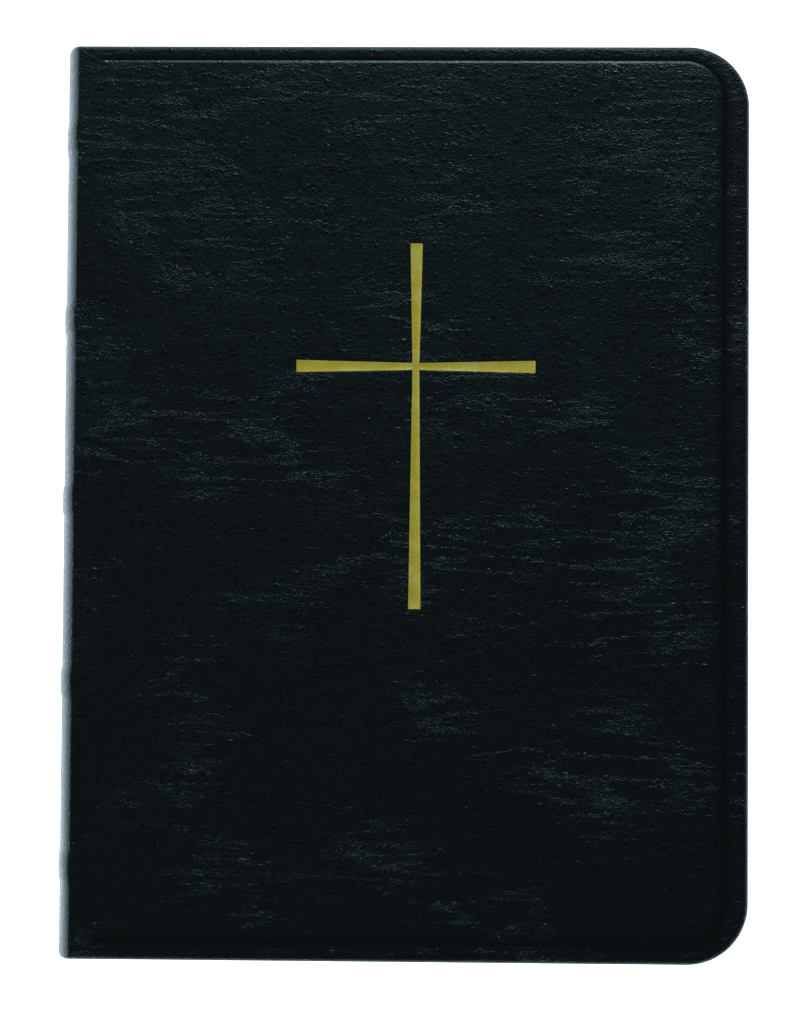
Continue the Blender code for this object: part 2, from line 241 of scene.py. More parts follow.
@dataclass
class Effects:
    """The effects that several finishes share, each a node group built once."""

    grain: bpy.types.NodeTree
    wrinkles: bpy.types.NodeTree
    handling: bpy.types.NodeTree
    fibre: bpy.types.NodeTree
    lines: bpy.types.NodeTree
    print: bpy.types.NodeTree

    @classmethod
    def build(cls) -> Effects:
        """Builds every shared effect."""
        return cls(
            grain=cls.make_grain(),
            wrinkles=cls.make_wrinkles(),
            handling=cls.make_handling(),
            fibre=cls.make_fibre(),
            lines=cls.make_lines(),
            print=cls.make_print(),
        )

    @staticmethod
    def make_grain() -> bpy.types.NodeTree:
        """Pebbled leather: rounded cells of two sizes, some prouder than others, with fine pores."""
        inputs = {"Vector": None, "Cell": 1.0, "Stretch": 1.4, "Pores": 0.25, "Uneven": 0.6}
        tree, wires, start, end = effect("leather_grain", inputs, ("Height", "Valley"))
        sway = wires.node("TexNoise")
        wires.feed(sway.inputs["Vector"], start.outputs["Vector"])
        sway.inputs["Scale"].default_value = 0.45
        sway.inputs["Detail"].default_value = 3.0
        shift = wires.node("VectorMath", operation="SCALE")
        wires.feed(shift.inputs[0], sway.outputs["Color"])
        shift.inputs["Scale"].default_value = 1.6
        moved = wires.node("VectorMath", operation="ADD")
        wires.feed(moved.inputs[0], start.outputs["Vector"])
        wires.feed(moved.inputs[1], shift.outputs[0])
        narrow = wires.math("DIVIDE", 1.0, start.outputs["Stretch"])
        laid = wires.stretch(moved.outputs[0], narrow, 1.0)
        density = wires.math("DIVIDE", 1.0, start.outputs["Cell"])
        layers = []
        for share, finer in ((0.68, 1.0), (0.32, 2.3)):
            cells = wires.node("TexVoronoi", feature="SMOOTH_F1", voronoi_dimensions="2D")
            wires.feed(cells.inputs["Vector"], laid)
            wires.feed(cells.inputs["Scale"], wires.math("MULTIPLY", density, finer))
            cells.inputs["Smoothness"].default_value = 0.45
            rounded = wires.span(cells.outputs["Distance"], 0.08, 0.72, 1.0, 0.0)
            layers.append(wires.math("MULTIPLY", rounded, share))
        size = wires.node("TexVoronoi", feature="F1", voronoi_dimensions="2D")
        wires.feed(size.inputs["Vector"], laid)
        wires.feed(size.inputs["Scale"], density)
        chance = wires.node("SeparateXYZ")
        wires.feed(chance.inputs[0], size.outputs["Color"])
        proud = wires.math("POWER", chance.outputs["X"], 3.0)
        lowered = wires.math("MULTIPLY", wires.math("SUBTRACT", 1.0, proud), start.outputs["Uneven"])
        layers[0] = wires.math("MULTIPLY", layers[0], wires.math("SUBTRACT", 1.0, lowered))
        pebbles = wires.math("ADD", *layers)
        pores = wires.noise(laid, wires.math("MULTIPLY", density, 4.5), 3.0)
        pitted = wires.math("MULTIPLY", pores, start.outputs["Pores"])
        wires.feed(end.inputs["Height"], wires.math("ADD", pebbles, pitted))
        wires.feed(end.inputs["Valley"], wires.span(pebbles, 0.15, 0.6, 1.0, 0.0))
        return tree

    @staticmethod
    def make_wrinkles() -> bpy.types.NodeTree:
        """Long shallow creases across the leather, in loose patches."""
        inputs = {"Vector": None, "Length": 16.0, "Spacing": 3.2, "Width": 0.05}
        tree, wires, start, end = effect("leather_wrinkles", inputs, ("Height",))
        across = wires.math("DIVIDE", 1.0, start.outputs["Length"])
        along = wires.math("DIVIDE", 1.0, start.outputs["Spacing"])
        laid = wires.stretch(start.outputs["Vector"], across, along)
        ripple = wires.noise(laid, 1.0, 3.5)
        ridge = wires.math("ABSOLUTE", wires.math("SUBTRACT", ripple, 0.5))
        crease = wires.span(ridge, 0.0, start.outputs["Width"], 1.0, 0.0)
        patches = wires.noise(wires.stretch(start.outputs["Vector"], 0.035, 0.055), 1.0, 1.0)
        where = wires.span(patches, 0.42, 0.62, 0.0, 1.0)
        wires.feed(end.inputs["Height"], wires.math("MULTIPLY", crease, where))
        return tree

    @staticmethod
    def make_handling() -> bpy.types.NodeTree:
        """Cloudy marks of handling, where a surface is rubbed smoother."""
        inputs = {"Vector": None, "Size": 20.0, "Amount": 0.5}
        tree, wires, start, end = effect("handling_marks", inputs, ("Rub",))
        scale = wires.math("DIVIDE", 1.0, start.outputs["Size"])
        clouds = wires.span(wires.noise(start.outputs["Vector"], scale, 4.0), 0.4, 0.68, 0.0, 1.0)
        wires.feed(end.inputs["Rub"], wires.math("MULTIPLY", clouds, start.outputs["Amount"]))
        return tree

    @staticmethod
    def make_fibre() -> bpy.types.NodeTree:
        """The fine tangled surface of paper or board."""
        inputs = {"Vector": None, "Fineness": 3.0}
        tree, wires, start, end = effect("paper_fibre", inputs, ("Height", "Cloud"))
        fine = wires.noise(start.outputs["Vector"], start.outputs["Fineness"], 5.0)
        crossed = wires.stretch(start.outputs["Vector"], 0.35, 1.6)
        strands = wires.noise(crossed, start.outputs["Fineness"], 3.0)
        wires.feed(end.inputs["Height"], wires.math("ADD", fine, strands))
        cloud = wires.noise(start.outputs["Vector"], 0.12, 3.0)
        wires.feed(end.inputs["Cloud"], wires.span(cloud, 0.35, 0.65, 0.0, 1.0))
        return tree

    @staticmethod
    def make_lines() -> bpy.types.NodeTree:
        """Fine uneven lines along the map's first direction, such as the edges of many leaves."""
        inputs = {"Vector": None, "Pitch": 0.09, "Wander": 0.02}
        tree, wires, start, end = effect("leaf_lines", inputs, ("Height", "Gap"))
        parts = wires.node("SeparateXYZ")
        wires.feed(parts.inputs[0], start.outputs["Vector"])
        slow = wires.noise(wires.stretch(start.outputs["Vector"], 0.05, 0.8), 1.0, 2.0)
        level = wires.math("ADD", parts.outputs["Y"], wires.math("MULTIPLY", slow, start.outputs["Wander"]))
        count = wires.math("DIVIDE", level, start.outputs["Pitch"])
        row = wires.math("FLOOR", count)
        place = wires.math("PINGPONG", wires.math("FRACT", count), 0.5)
        random = wires.node("TexWhiteNoise", noise_dimensions="1D")
        wires.feed(random.inputs["W"], row)
        depth = wires.span(random.outputs["Value"], 0.0, 1.0, 0.3, 1.0)
        rounded = wires.span(place, 0.0, 0.28, 0.0, 1.0)
        wires.feed(end.inputs["Height"], wires.math("MULTIPLY", rounded, depth))
        wires.feed(end.inputs["Gap"], wires.span(place, 0.0, 0.14, 1.0, 0.0))
        return tree

    @staticmethod
    def make_print() -> bpy.types.NodeTree:
        """Rows of plain dashes in place of text, with a red row here and there.

        The map's first direction runs from the gutter to the fore edge.
        """
        inputs = {"Vector": None, "Left": -44.0, "Right": 45.0, "Top": 62.0, "Foot": -64.0, "Pitch": 3.6}
        tree, wires, start, end = effect("row_print", inputs, ("Ink", "Red"))
        parts = wires.node("SeparateXYZ")
        wires.feed(parts.inputs[0], start.outputs["Vector"])
        across, up = parts.outputs["X"], parts.outputs["Y"]
        rows = wires.math("DIVIDE", up, start.outputs["Pitch"])
        number = wires.math("FLOOR", rows)
        place = wires.math("FRACT", rows)
        stroke = wires.math(
            "MULTIPLY", wires.span(place, 0.28, 0.36, 0.0, 1.0), wires.span(place, 0.6, 0.7, 1.0, 0.0)
        )
        spot = wires.node("CombineXYZ")
        wires.feed(spot.inputs["X"], wires.math("MULTIPLY", across, 0.42))
        wires.feed(spot.inputs["Y"], wires.math("MULTIPLY", number, 5.3))
        words = wires.span(wires.noise(spot.outputs[0], 1.0, 1.0), 0.4, 0.44, 0.0, 1.0)
        close = wires.noise(wires.stretch(spot.outputs[0], 9.0, 1.0), 1.0, 1.0)
        letters = wires.span(close, 0.3, 0.6, 0.45, 1.0)
        indent = wires.node("TexWhiteNoise", noise_dimensions="1D")
        wires.feed(indent.inputs["W"], number)
        ragged = wires.math("MULTIPLY", indent.outputs["Value"], 12.0)
        right = wires.math("SUBTRACT", start.outputs["Right"], ragged)
        inside = wires.math("LESS_THAN", across, right)
        limits = ((start.outputs["Left"], across), (start.outputs["Foot"], up), (up, start.outputs["Top"]))
        for low, high in limits:
            inside = wires.math("MULTIPLY", inside, wires.math("LESS_THAN", low, high))
        turn = wires.math("FLOORED_MODULO", number, 9.0)
        ink = inside
        for mask in (stroke, words, letters, wires.math("LESS_THAN", turn, 7.5)):
            ink = wires.math("MULTIPLY", ink, mask)
        wires.feed(end.inputs["Ink"], ink)
        wires.feed(end.inputs["Red"], wires.math("LESS_THAN", turn, 0.5))
        return tree


class Finish:
    """A material made once, with its nodes wired by the finish's own wire method.

    A finish that isn't mapped follows the piece's own space instead of its surface map.
    """

    name = "finish"
    mapped = True

    def __init__(self, effects: Effects) -> None:
        """Keeps the shared effects and makes the material."""
        self.effects = effects
        self.material = bpy.data.materials.new(self.name)
        self.material.use_nodes = True
        self.wires = Wiring(self.material.node_tree)
        self.shader = self.material.node_tree.nodes["Principled BSDF"]
        if self.mapped:
            self.surface = self.wires.node("UVMap", uv_map=SURFACE_MAP).outputs[0]
        else:
            place = self.wires.node("TexCoord").outputs["Object"]
            self.surface = self.wires.stretch(place, 1 / MM, 1 / MM, 1 / MM)
        self.wire()

    def wire(self) -> None:
        """Wires the finish. Each finish has its own."""
        raise NotImplementedError

    def use(self, group: bpy.types.NodeTree, **values: float) -> bpy.types.Node:
        """Places a shared effect on the surface map with this finish's own values."""
        made = self.wires.node("Group", node_tree=group)
        self.wires.feed(made.inputs["Vector"], self.surface)
        for label, value in values.items():
            made.inputs[label].default_value = value
        return made

    def put(self, socket: str, value: object) -> None:
        """Feeds one of the shader's own sockets."""
        self.wires.feed(self.shader.inputs[socket], (*value, 1.0) if isinstance(value, tuple) else value)

    def tint(self, share: object, first: object, second: object) -> None:
        """Gives the surface its colour, mixed from two."""
        self.put("Base Color", self.wires.mix(share, first, second))

    def bump(self, height: Socket, depth: float, below: Socket | None = None) -> Socket:
        """A Bump node.

        Args:
            height: The height, from 0 to 1.
            depth: The depth in metres that a height of 1 stands for.
            below: The normal that this relief lies on.

        Returns:
            The bumped normal.
        """
        made = self.wires.node("Bump")
        made.inputs["Distance"].default_value = depth
        self.wires.feed(made.inputs["Height"], height)
        if below is not None:
            self.wires.feed(made.inputs["Normal"], below)
        return made.outputs[0]

    def dress(self, obj: Object, slot: str) -> None:
        """Puts the finish on an object."""
        obj.data.materials.append(self.material)


class BlackLeather(Finish):
    """Black calf with a small pebbled grain, a soft gloss and long shallow wrinkles."""

    name = "black_leather"
    base: Color = (0.0072, 0.0102, 0.0092)
    rubbed: Color = (0.0080, 0.0112, 0.0102)
    roughness = 0.255
    rubbed_gloss = -0.06
    valley_dullness = 0.14
    tool_polish = -0.11
    tool_smoothing = 0.92
    pebble_depth = 0.14 * MM
    fold_depth = -0.012 * MM

    def wire(self) -> None:
        """Wires grain, wrinkles and handling into colour, gloss and relief."""
        grain = self.use(self.effects.grain, Cell=0.74, Stretch=1.5, Pores=0.05, Uneven=0.85)
        wrinkles = self.use(self.effects.wrinkles, Length=24.0, Spacing=3.4, Width=0.075)
        marks = self.use(self.effects.handling, Size=22.0, Amount=0.6)
        self.tint(marks.outputs["Rub"], self.base, self.rubbed)
        gloss = self.wires.math("MULTIPLY", marks.outputs["Rub"], self.rubbed_gloss)
        rough = self.wires.math("MULTIPLY", grain.outputs["Valley"], self.valley_dullness)
        burnish = self.wires.node("Attribute", attribute_name=BURNISH).outputs["Fac"]
        polish = self.wires.math("MULTIPLY", burnish, self.tool_polish)
        level = self.wires.math("ADD", self.roughness, self.wires.math("ADD", gloss, rough))
        self.put("Roughness", self.wires.math("ADD", level, polish))
        self.put("Specular IOR Level", 0.45)
        self.put("Specular Tint", (0.63, 0.93, 1.0))
        folds = self.bump(wrinkles.outputs["Height"], self.fold_depth)
        kept = self.wires.math("SUBTRACT", 1.0, self.wires.math("MULTIPLY", burnish, self.tool_smoothing))
        gathered = self.wires.math("MULTIPLY", wrinkles.outputs["Height"], 0.95)
        share = self.wires.math("MULTIPLY", kept, self.wires.math("ADD", 0.62, gathered))
        pebbles = self.wires.math("MULTIPLY", grain.outputs["Height"], share)
        self.put("Normal", self.bump(pebbles, self.pebble_depth, folds))


class StampedFoil(Finish):
    """Gold foil pressed into the leather, with the grain just showing through."""

    name = "stamped_gold_foil"

    def wire(self) -> None:
        """Wires the foil's colour, brighter in rubbed patches that are partly wear and partly painted
        highlight, and its pressed surface.
        """
        grain = self.use(self.effects.grain, Cell=0.7, Stretch=1.3, Pores=0.5)
        marks = self.use(self.effects.handling, Size=3.0, Amount=1.0)
        # Partly wear, partly painted highlight: the rubbed patches turn a brighter, yellower gold.
        self.tint(marks.outputs["Rub"], (0.82, 0.69, 0.055), (0.97, 0.87, 0.18))
        self.put("Metallic", 0.1)
        self.put("Roughness", self.wires.span(marks.outputs["Rub"], 0.0, 1.0, 0.5, 0.36))
        self.put("Normal", self.bump(grain.outputs["Height"], 0.035 * MM))


class PrintedPaper(Finish):
    """Thin cream paper with rows of dashes for print."""

    name = "printed_paper"

    def wire(self) -> None:
        """Wires the paper's tint, its print and its fibre."""
        fibre = self.use(self.effects.fibre, Fineness=2.5)
        rows = self.use(self.effects.print)
        paper = self.wires.mix(fibre.outputs["Cloud"], (0.80, 0.765, 0.66), (0.84, 0.81, 0.715))
        ink = self.wires.mix(rows.outputs["Red"], (0.035, 0.032, 0.03), (0.42, 0.035, 0.025))
        share = self.wires.math("MULTIPLY", rows.outputs["Ink"], 0.8)
        self.tint(share, paper, ink)
        self.put("Roughness", 0.85)
        self.put("Normal", self.bump(fibre.outputs["Height"], 0.012 * MM))


class GiltEdge(Finish):
    """The gilded edge of the closed leaves, with the leaves' lines showing through the gold."""

    name = "gilt_edge"

    def wire(self) -> None:
        """Wires the gold, the fine lines and painted shade in the gaps between leaves."""
        lines = self.use(self.effects.lines, Pitch=0.11, Wander=0.05)
        marks = self.use(self.effects.handling, Size=9.0, Amount=0.8)
        # Painted shade: the gaps between leaves are darkened towards brown.
        gap_shade = self.wires.math("MULTIPLY", lines.outputs["Gap"], 0.45)
        gold = self.wires.mix(marks.outputs["Rub"], (0.42, 0.27, 0.072), (0.50, 0.34, 0.11))
        self.tint(gap_shade, gold, (0.26, 0.18, 0.085))
        self.put("Metallic", 0.85)
        self.put("Roughness", self.wires.span(marks.outputs["Rub"], 0.0, 1.0, 0.3, 0.42))
        self.put("Normal", self.bump(lines.outputs["Height"], 0.02 * MM))


class Endpaper(Finish):
    """Black endpaper with a faint laid texture."""

    name = "black_endpaper"

    def wire(self) -> None:
        """Wires the paper's cloudy black and its laid lines."""
        fibre = self.use(self.effects.fibre, Fineness=2.0)
        laid = self.use(self.effects.lines, Pitch=0.9, Wander=0.2)
        self.tint(fibre.outputs["Cloud"], (0.016, 0.016, 0.018), (0.026, 0.025, 0.027))
        self.put("Roughness", 0.72)
        low = self.bump(laid.outputs["Height"], 0.01 * MM)
        self.put("Normal", self.bump(fibre.outputs["Height"], 0.02 * MM, low))


class SilkThread(Finish):
    """Silk wound over the headband's core, gold with black stripes along the roll."""

    name = "headband_thread"

    def wire(self) -> None:
        """Wires the stripes along the roll and the threads' twist."""
        parts = self.wires.node("SeparateXYZ")
        self.wires.feed(parts.inputs[0], self.surface)
        place = self.wires.math("FRACT", self.wires.math("DIVIDE", parts.outputs["X"], 2.4))
        stripe = self.wires.math("GREATER_THAN", place, 0.5)
        self.tint(stripe, (0.52, 0.36, 0.09), (0.018, 0.018, 0.02))
        threads = self.use(self.effects.fibre, Fineness=6.0)
        self.put("Roughness", 0.45)
        self.put("Sheen Weight", 0.3)
        self.put("Normal", self.bump(threads.outputs["Height"], 0.03 * MM))


class RawBoard(Finish):
    """Grey-brown card, seen only where the cover is open at its edges."""

    name = "flexible_card"
    mapped = False

    def wire(self) -> None:
        """Wires the card's flecks and fibre."""
        fibre = self.use(self.effects.fibre, Fineness=1.4)
        self.tint(fibre.outputs["Cloud"], (0.33, 0.28, 0.21), (0.42, 0.36, 0.28))
        self.put("Roughness", 0.92)
        self.put("Normal", self.bump(fibre.outputs["Height"], 0.04 * MM))


class MullCloth(Finish):
    """Open-weave lining cloth stiffened with paste."""

    name = "mull_cloth"
    mapped = False

    def wire(self) -> None:
        """Wires a plain weave from two crossed sets of lines."""
        warp = self.use(self.effects.lines, Pitch=0.7, Wander=0.1)
        turned = self.wires.node("Group", node_tree=self.effects.lines)
        quarter = self.wires.node("Mapping", vector_type="POINT")
        quarter.inputs["Rotation"].default_value = (0, 0, math.pi / 2)
        self.wires.feed(quarter.inputs["Vector"], self.surface)
        self.wires.feed(turned.inputs["Vector"], quarter.outputs[0])
        turned.inputs["Pitch"].default_value = 0.7
        weave = self.wires.math("MULTIPLY", warp.outputs["Height"], turned.outputs["Height"])
        self.tint(weave, (0.42, 0.36, 0.27), (0.72, 0.67, 0.57))
        self.put("Roughness", 0.9)
        self.put("Normal", self.bump(weave, 0.08 * MM))


class PaleFloor(Finish):
    """A plain pale studio floor."""

    name = "pale_floor"
    mapped = False

    def wire(self) -> None:
        """Wires a very faint unevenness into the floor's white."""
        cloud = self.wires.noise(self.surface, 0.01, 2.0)
        self.tint(cloud, (0.90, 0.90, 0.90), (0.93, 0.93, 0.93))
        self.put("Emission Color", (0.80, 0.89, 1.0))
        self.put("Emission Strength", 1.9)
        self.put("Roughness", 0.75)
        self.put("Specular IOR Level", 0.2)


@dataclass
class Finishes:
    """Every finish on the book."""

    leather: BlackLeather
    foil: StampedFoil
    paper: PrintedPaper
    gilt: GiltEdge
    endpaper: Endpaper
    silk: SilkThread
    board: RawBoard
    cloth: MullCloth
    floor: PaleFloor

    @classmethod
    def build(cls, effects: Effects) -> Finishes:
        """Makes each finish once."""
        kinds = (BlackLeather, StampedFoil, PrintedPaper, GiltEdge, Endpaper, SilkThread)
        return cls(*(kind(effects) for kind in (*kinds, RawBoard, MullCloth, PaleFloor)))


# --------------------------------------------------------------------------------------------------
# Sizes
# --------------------------------------------------------------------------------------------------


@dataclass(frozen=True)
class Book:
    """Places in the closed book, read from its frame. All in metres."""

    apex_x: float
    joint_x: float
    fore_x: float
    half_height: float
    thickness: float
    block_x: float
    block_half_height: float
    block_fore_x: float
    cross_x: float
    cross_y: float

    band_rise = 0.22 * MM
    band_width = 3.4 * MM
    band_shoulder = 0.9 * MM
    corner = 10.3 * MM
    leaf_corner = 8.2 * MM
    joint_gap = 0.35 * MM

    @classmethod
    def from_frame(cls) -> Book:
        """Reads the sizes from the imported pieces."""
        cover_low, cover_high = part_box("front_cover_leather")
        spine_low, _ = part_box("spine_leather_front")
        _, section_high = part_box("section_01")
        middle_low, middle_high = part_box("leaf_1")
        cross_low, cross_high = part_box("gold_cross")
        return cls(
            apex_x=spine_low.x,
            joint_x=cover_low.x - cls.joint_gap,
            fore_x=cover_high.x,
            half_height=cover_high.y,
            thickness=cover_high.z,
            block_x=middle_low.x,
            block_half_height=section_high.y,
            block_fore_x=middle_high.x,
            cross_x=(cross_low.x + cross_high.x) / 2,
            cross_y=cross_high.y - CrossShape.top,
        )

    @property
    def middle(self) -> float:
        """Half of the thickness."""
        return self.thickness / 2

    @property
    def round_depth(self) -> float:
        """How far the round back stands out between its two joints."""
        return self.joint_x - self.apex_x

    @property
    def band_pitch(self) -> float:
        """The distance between raised bands."""
        return self.half_height * 2 / len(BAND_NAMES)

    def back_shift(self, height: float) -> float:
        """How far the round back has drawn in at a height."""
        share = max(-1.0, min(1.0, (height - self.middle) / self.middle))
        return self.round_depth * (1 - math.sqrt(1 - share * share))

    def band(self, y: float) -> float:
        """The height of the raised bands at a place along the spine."""
        beyond = abs(y - round(y / self.band_pitch) * self.band_pitch) - self.band_width / 2
        return self.band_rise * (1 - ease(beyond, 0.0, self.band_shoulder))


# --------------------------------------------------------------------------------------------------
# Sheets: grids of points that wrap round edges and round corners
# --------------------------------------------------------------------------------------------------


@dataclass(frozen=True)
class CrossShape:
    """Two tapered bars that widen from the crossing to their ends."""

    x: float
    y: float

    top = 20.9 * MM
    foot = 41.0 * MM
    side = 20.2 * MM
    waist = 0.6 * MM
    end = 1.05 * MM

    def upright_half(self, y: float) -> float:
        """Half the upright bar's width at a height."""
        off = y - self.y
        length = self.top if off > 0 else self.foot
        return lerp(self.waist, self.end, min(1.0, max(0.0, abs(off) - self.waist) / (length - self.waist)))

    def beam_half(self, x: float) -> float:
        """Half the crossbar's width at a distance along it."""
        share = max(0.0, abs(x - self.x) - self.waist) / (self.side - self.waist)
        return lerp(self.waist, self.end, min(1.0, share))

    def inside(self, x: float, y: float) -> float:
        """How far a point is inside the outline: negative outside it."""
        off_x, off_y = x - self.x, y - self.y
        upright = min(self.upright_half(y) - abs(off_x), self.top - off_y, off_y + self.foot)
        beam = min(self.beam_half(x) - abs(off_y), self.side - abs(off_x))
        return max(upright, beam)


@dataclass(frozen=True)
class Arm:
    """Ties a line of a sheet to one side of a bar of the cross, at an offset from its edge."""

    side: int
    offset: float


@dataclass(frozen=True)
class Station:
    """A line across a sheet, at one place along its path from the hinge side to the fore edge."""

    x: float
    z: float
    lean: float = 0.0
    along: float = 0.0
    ring: int = -1
    arm: Arm | None = None
    fullness: float = 1.0

    @property
    def out(self) -> Vector:
        """The way out of the sheet's face here."""
        return Vector((-math.sin(self.lean), 0.0, math.cos(self.lean)))


@dataclass(frozen=True)
class Row:
    """A line along a sheet, at one place between tail and head."""

    y: float
    ring: int = -1
    side: int = 0
    arm: Arm | None = None


@dataclass(frozen=True)
class Ring:
    """A line round a sheet's edge.

    It has an inset for the fore edge, head and tail, a depth below the sheet's face, and a reach,
    the inset of its line on the sheet laid flat.
    """

    fore: float
    head: float
    tail: float
    depth: float = 0.0
    reach: float = 0.0

    def inset(self, side: int) -> float:
        """The inset at the head or the tail."""
        return self.head if side > 0 else self.tail

    def flat(self, inset: float) -> float:
        """The inset on the sheet laid flat, where the ring's own inset is the one given."""
        return self.reach + inset - self.fore


@dataclass(frozen=True)
class Spot:
    """A crossing of two lines of a sheet.

    Its corner share goes from 0 at the fore edge to 1 at the head or tail, and is negative on a
    point that no edge line passes.
    """

    point: Vector
    out: Vector
    depth: float
    flat: tuple[float, float]
    inset: float
    share: float
    side: int


def make_mesh(
    name: str,
    grid: list[list[Vector]],
    maps: list[list[tuple[float, float]]],
    thickness: float,
    outward: Vector,
    keep: Callable[[int, int], bool] | None = None,
) -> Object:
    """A sheet of quads with its surface map, made solid.

    Args:
        name: The piece's name.
        grid: Points, one list for each station.
        maps: Each point's place on the surface map, in metres.
        thickness: The sheet's thickness, laid on the side away from its face.
        outward: A direction that most of the sheet's faces look towards.
        keep: Says which cells of the grid are made. All of them, if it is left out.

    Returns:
        The new object.
    """
    height = len(grid[0])
    points = [tuple(point) for line in grid for point in line]
    faces = [
        (i * height + j, (i + 1) * height + j, (i + 1) * height + j + 1, i * height + j + 1)
        for i in range(len(grid) - 1)
        for j in range(height - 1)
        if keep is None or keep(i, j)
    ]
    used = sorted({index for face in faces for index in face})
    number = {old: new for new, old in enumerate(used)}
    mesh = bpy.data.meshes.new(name)
    mesh.from_pydata([points[i] for i in used], [], [[number[i] for i in face] for face in faces])
    facing = sum((face.normal * face.area for face in mesh.polygons), Vector())
    if facing.dot(outward) < 0:
        mesh.flip_normals()
    flat = [spot for line in maps for spot in line]
    layer = mesh.uv_layers.new(name=SURFACE_MAP)
    for loop in mesh.loops:
        u, v = flat[used[loop.vertex_index]]
        layer.data[loop.index].uv = (u / MM, v / MM)
    mesh.shade_smooth()
    sides = Counter(key for face in mesh.polygons for key in face.edge_keys)
    for edge in mesh.edges:
        edge.use_edge_sharp = sides[edge.key] == 1
    return add_object(name, mesh, thickness)


def add_object(name: str, mesh: bpy.types.Mesh, thickness: float = 0.0) -> Object:
    """Puts a mesh in the scene, with a thickness below its faces if one is given."""
    obj = bpy.data.objects.new(name, mesh)
    bpy.context.scene.collection.objects.link(obj)
    if thickness:
        shell = obj.modifiers.new("thickness", "SOLIDIFY")
        shell.thickness = thickness
        shell.offset = -1
    return obj


def stack_loops(name: str, loops: list[list[Vector]]) -> bpy.types.Mesh:
    """A closed body through loops of equally many points, with a flat face at each end."""
    size = len(loops[0])
    faces = [tuple(range(size - 1, -1, -1))]
    for first in range(0, (len(loops) - 1) * size, size):
        for i in range(size):
            j = (i + 1) % size
            faces.append((first + i, first + j, first + size + j, first + size + i))
    faces.append(tuple((len(loops) - 1) * size + i for i in range(size)))
    mesh = bpy.data.meshes.new(name)
    mesh.from_pydata([tuple(point) for loop in loops for point in loop], [], faces)
    return mesh


def spread(low: float, high: float, step: float, marks: list[tuple[float, float]]) -> list[float]:
    """Even places from low to high that make way for marked ones.

    Args:
        low: The first place.
        high: The last place.
        step: The most that neighbours are apart.
        marks: Places that have to be there, each with the room that it keeps clear round it.

    Returns:
        The places in order, without the marks that keep themselves clear too.
    """
    count = max(1, math.ceil((high - low) / step))
    even = [lerp(low, high, i / count) for i in range(count + 1)]
    inner = [v for v in even[1:-1] if all(abs(v - mark) > room for mark, room in marks)]
    return [low, *inner, high]


@dataclass
class Sheet:
    """A sheet with two round fore corners that can wrap round its edges."""

    book: Book
    fore_x: float
    half_height: float
    corner: float
    rings: list[Ring]
    stations: list[Station]
    rows: list[Row]
    half: Half = Half.FRONT

    def corner_spot(self, station: Station, row: Row) -> Spot:
        """Where two lines cross in a round corner."""
        index = max(station.ring, row.ring)
        ring = self.rings[index]
        if index == 0:
            share = 0.5
        elif station.ring >= row.ring:
            share = 0.5 * row.ring / station.ring
        else:
            share = 1 - 0.5 * station.ring / row.ring
        turn = share * math.pi / 2
        inset = lerp(ring.fore, ring.inset(row.side), share)
        center = Vector((self.fore_x - self.corner, row.side * (self.half_height - self.corner)))
        way = Vector((math.cos(turn), row.side * math.sin(turn)))
        spot = center + way * (self.corner - inset)
        flat = center + way * (self.corner - ring.flat(inset))
        point = Vector((spot.x, spot.y, station.z))
        return Spot(point, station.out, ring.depth, (flat.x, flat.y), inset, share, row.side)

    def spot(self, station: Station, row: Row) -> Spot:
        """Where two lines of the sheet cross."""
        if station.ring >= 0 and row.ring >= 0:
            return self.corner_spot(station, row)
        if station.ring >= 0:
            ring = self.rings[station.ring]
            point = Vector((self.fore_x - ring.fore, row.y, station.z))
            flat = (self.fore_x - ring.reach, row.y)
            return Spot(point, station.out, ring.depth, flat, ring.fore, 0.0, 0)
        if row.ring >= 0:
            ring = self.rings[row.ring]
            inset = ring.inset(row.side)
            point = Vector((station.x, row.side * (self.half_height - inset), station.z))
            flat = (station.along, row.side * (self.half_height - ring.flat(inset)))
            return Spot(point, station.out, ring.depth * station.fullness, flat, inset, 1.0, row.side)
        point = Vector((station.x, row.y, station.z))
        return Spot(point, station.out, 0.0, (station.along, row.y), 1.0, -1.0, 0)

    def build(
        self,
        name: str,
        thickness: float,
        relief: Callable[[Spot, Station], float] | None = None,
        cross: CrossShape | None = None,
        burnish: Callable[[Spot], float] | None = None,
    ) -> Object:
        """Builds the sheet, upside down for the rear half.

        Args:
            name: The piece's name.
            thickness: How thick the sheet itself is.
            relief: Height above the face at a crossing.
            cross: The pressed shape that tied lines follow.
            burnish: How far the surface is rubbed smooth by a tool at a crossing.

        Returns:
            The new object.
        """
        grid, maps, rubbed = [], [], []
        for station in self.stations:
            line, flat = [], []
            for row in self.rows:
                spot = self.spot(station, row)
                point, place = spot.point.copy(), Vector(spot.flat)
                if cross is not None and station.arm is not None and row.ring < 0:
                    point.x = cross.x + station.arm.side * (cross.upright_half(row.y) + station.arm.offset)
                    place.x += point.x - spot.point.x
                if cross is not None and row.arm is not None and station.ring < 0:
                    point.y = cross.y + row.arm.side * (cross.beam_half(station.x) + row.arm.offset)
                    place.y += point.y - spot.point.y
                moved = Spot(point, spot.out, spot.depth, spot.flat, spot.inset, spot.share, spot.side)
                rise = relief(moved, station) if relief is not None else 0.0
                rubbed.append(burnish(moved) if burnish is not None else 0.0)
                point = point + spot.out * (rise - spot.depth)
                if self.half is Half.REAR:
                    point.z = self.book.thickness - point.z
                line.append(point)
                flat.append((place.x, place.y))
            grid.append(line)
            maps.append(flat)
        outward = Vector((-0.1, 0, self.half.sign))
        obj = make_mesh(name, grid, maps, thickness, outward)
        if burnish is not None:
            obj.data.attributes.new(BURNISH, "FLOAT", "POINT").data.foreach_set("value", rubbed)
        return obj


# --------------------------------------------------------------------------------------------------
# The leather case
# --------------------------------------------------------------------------------------------------


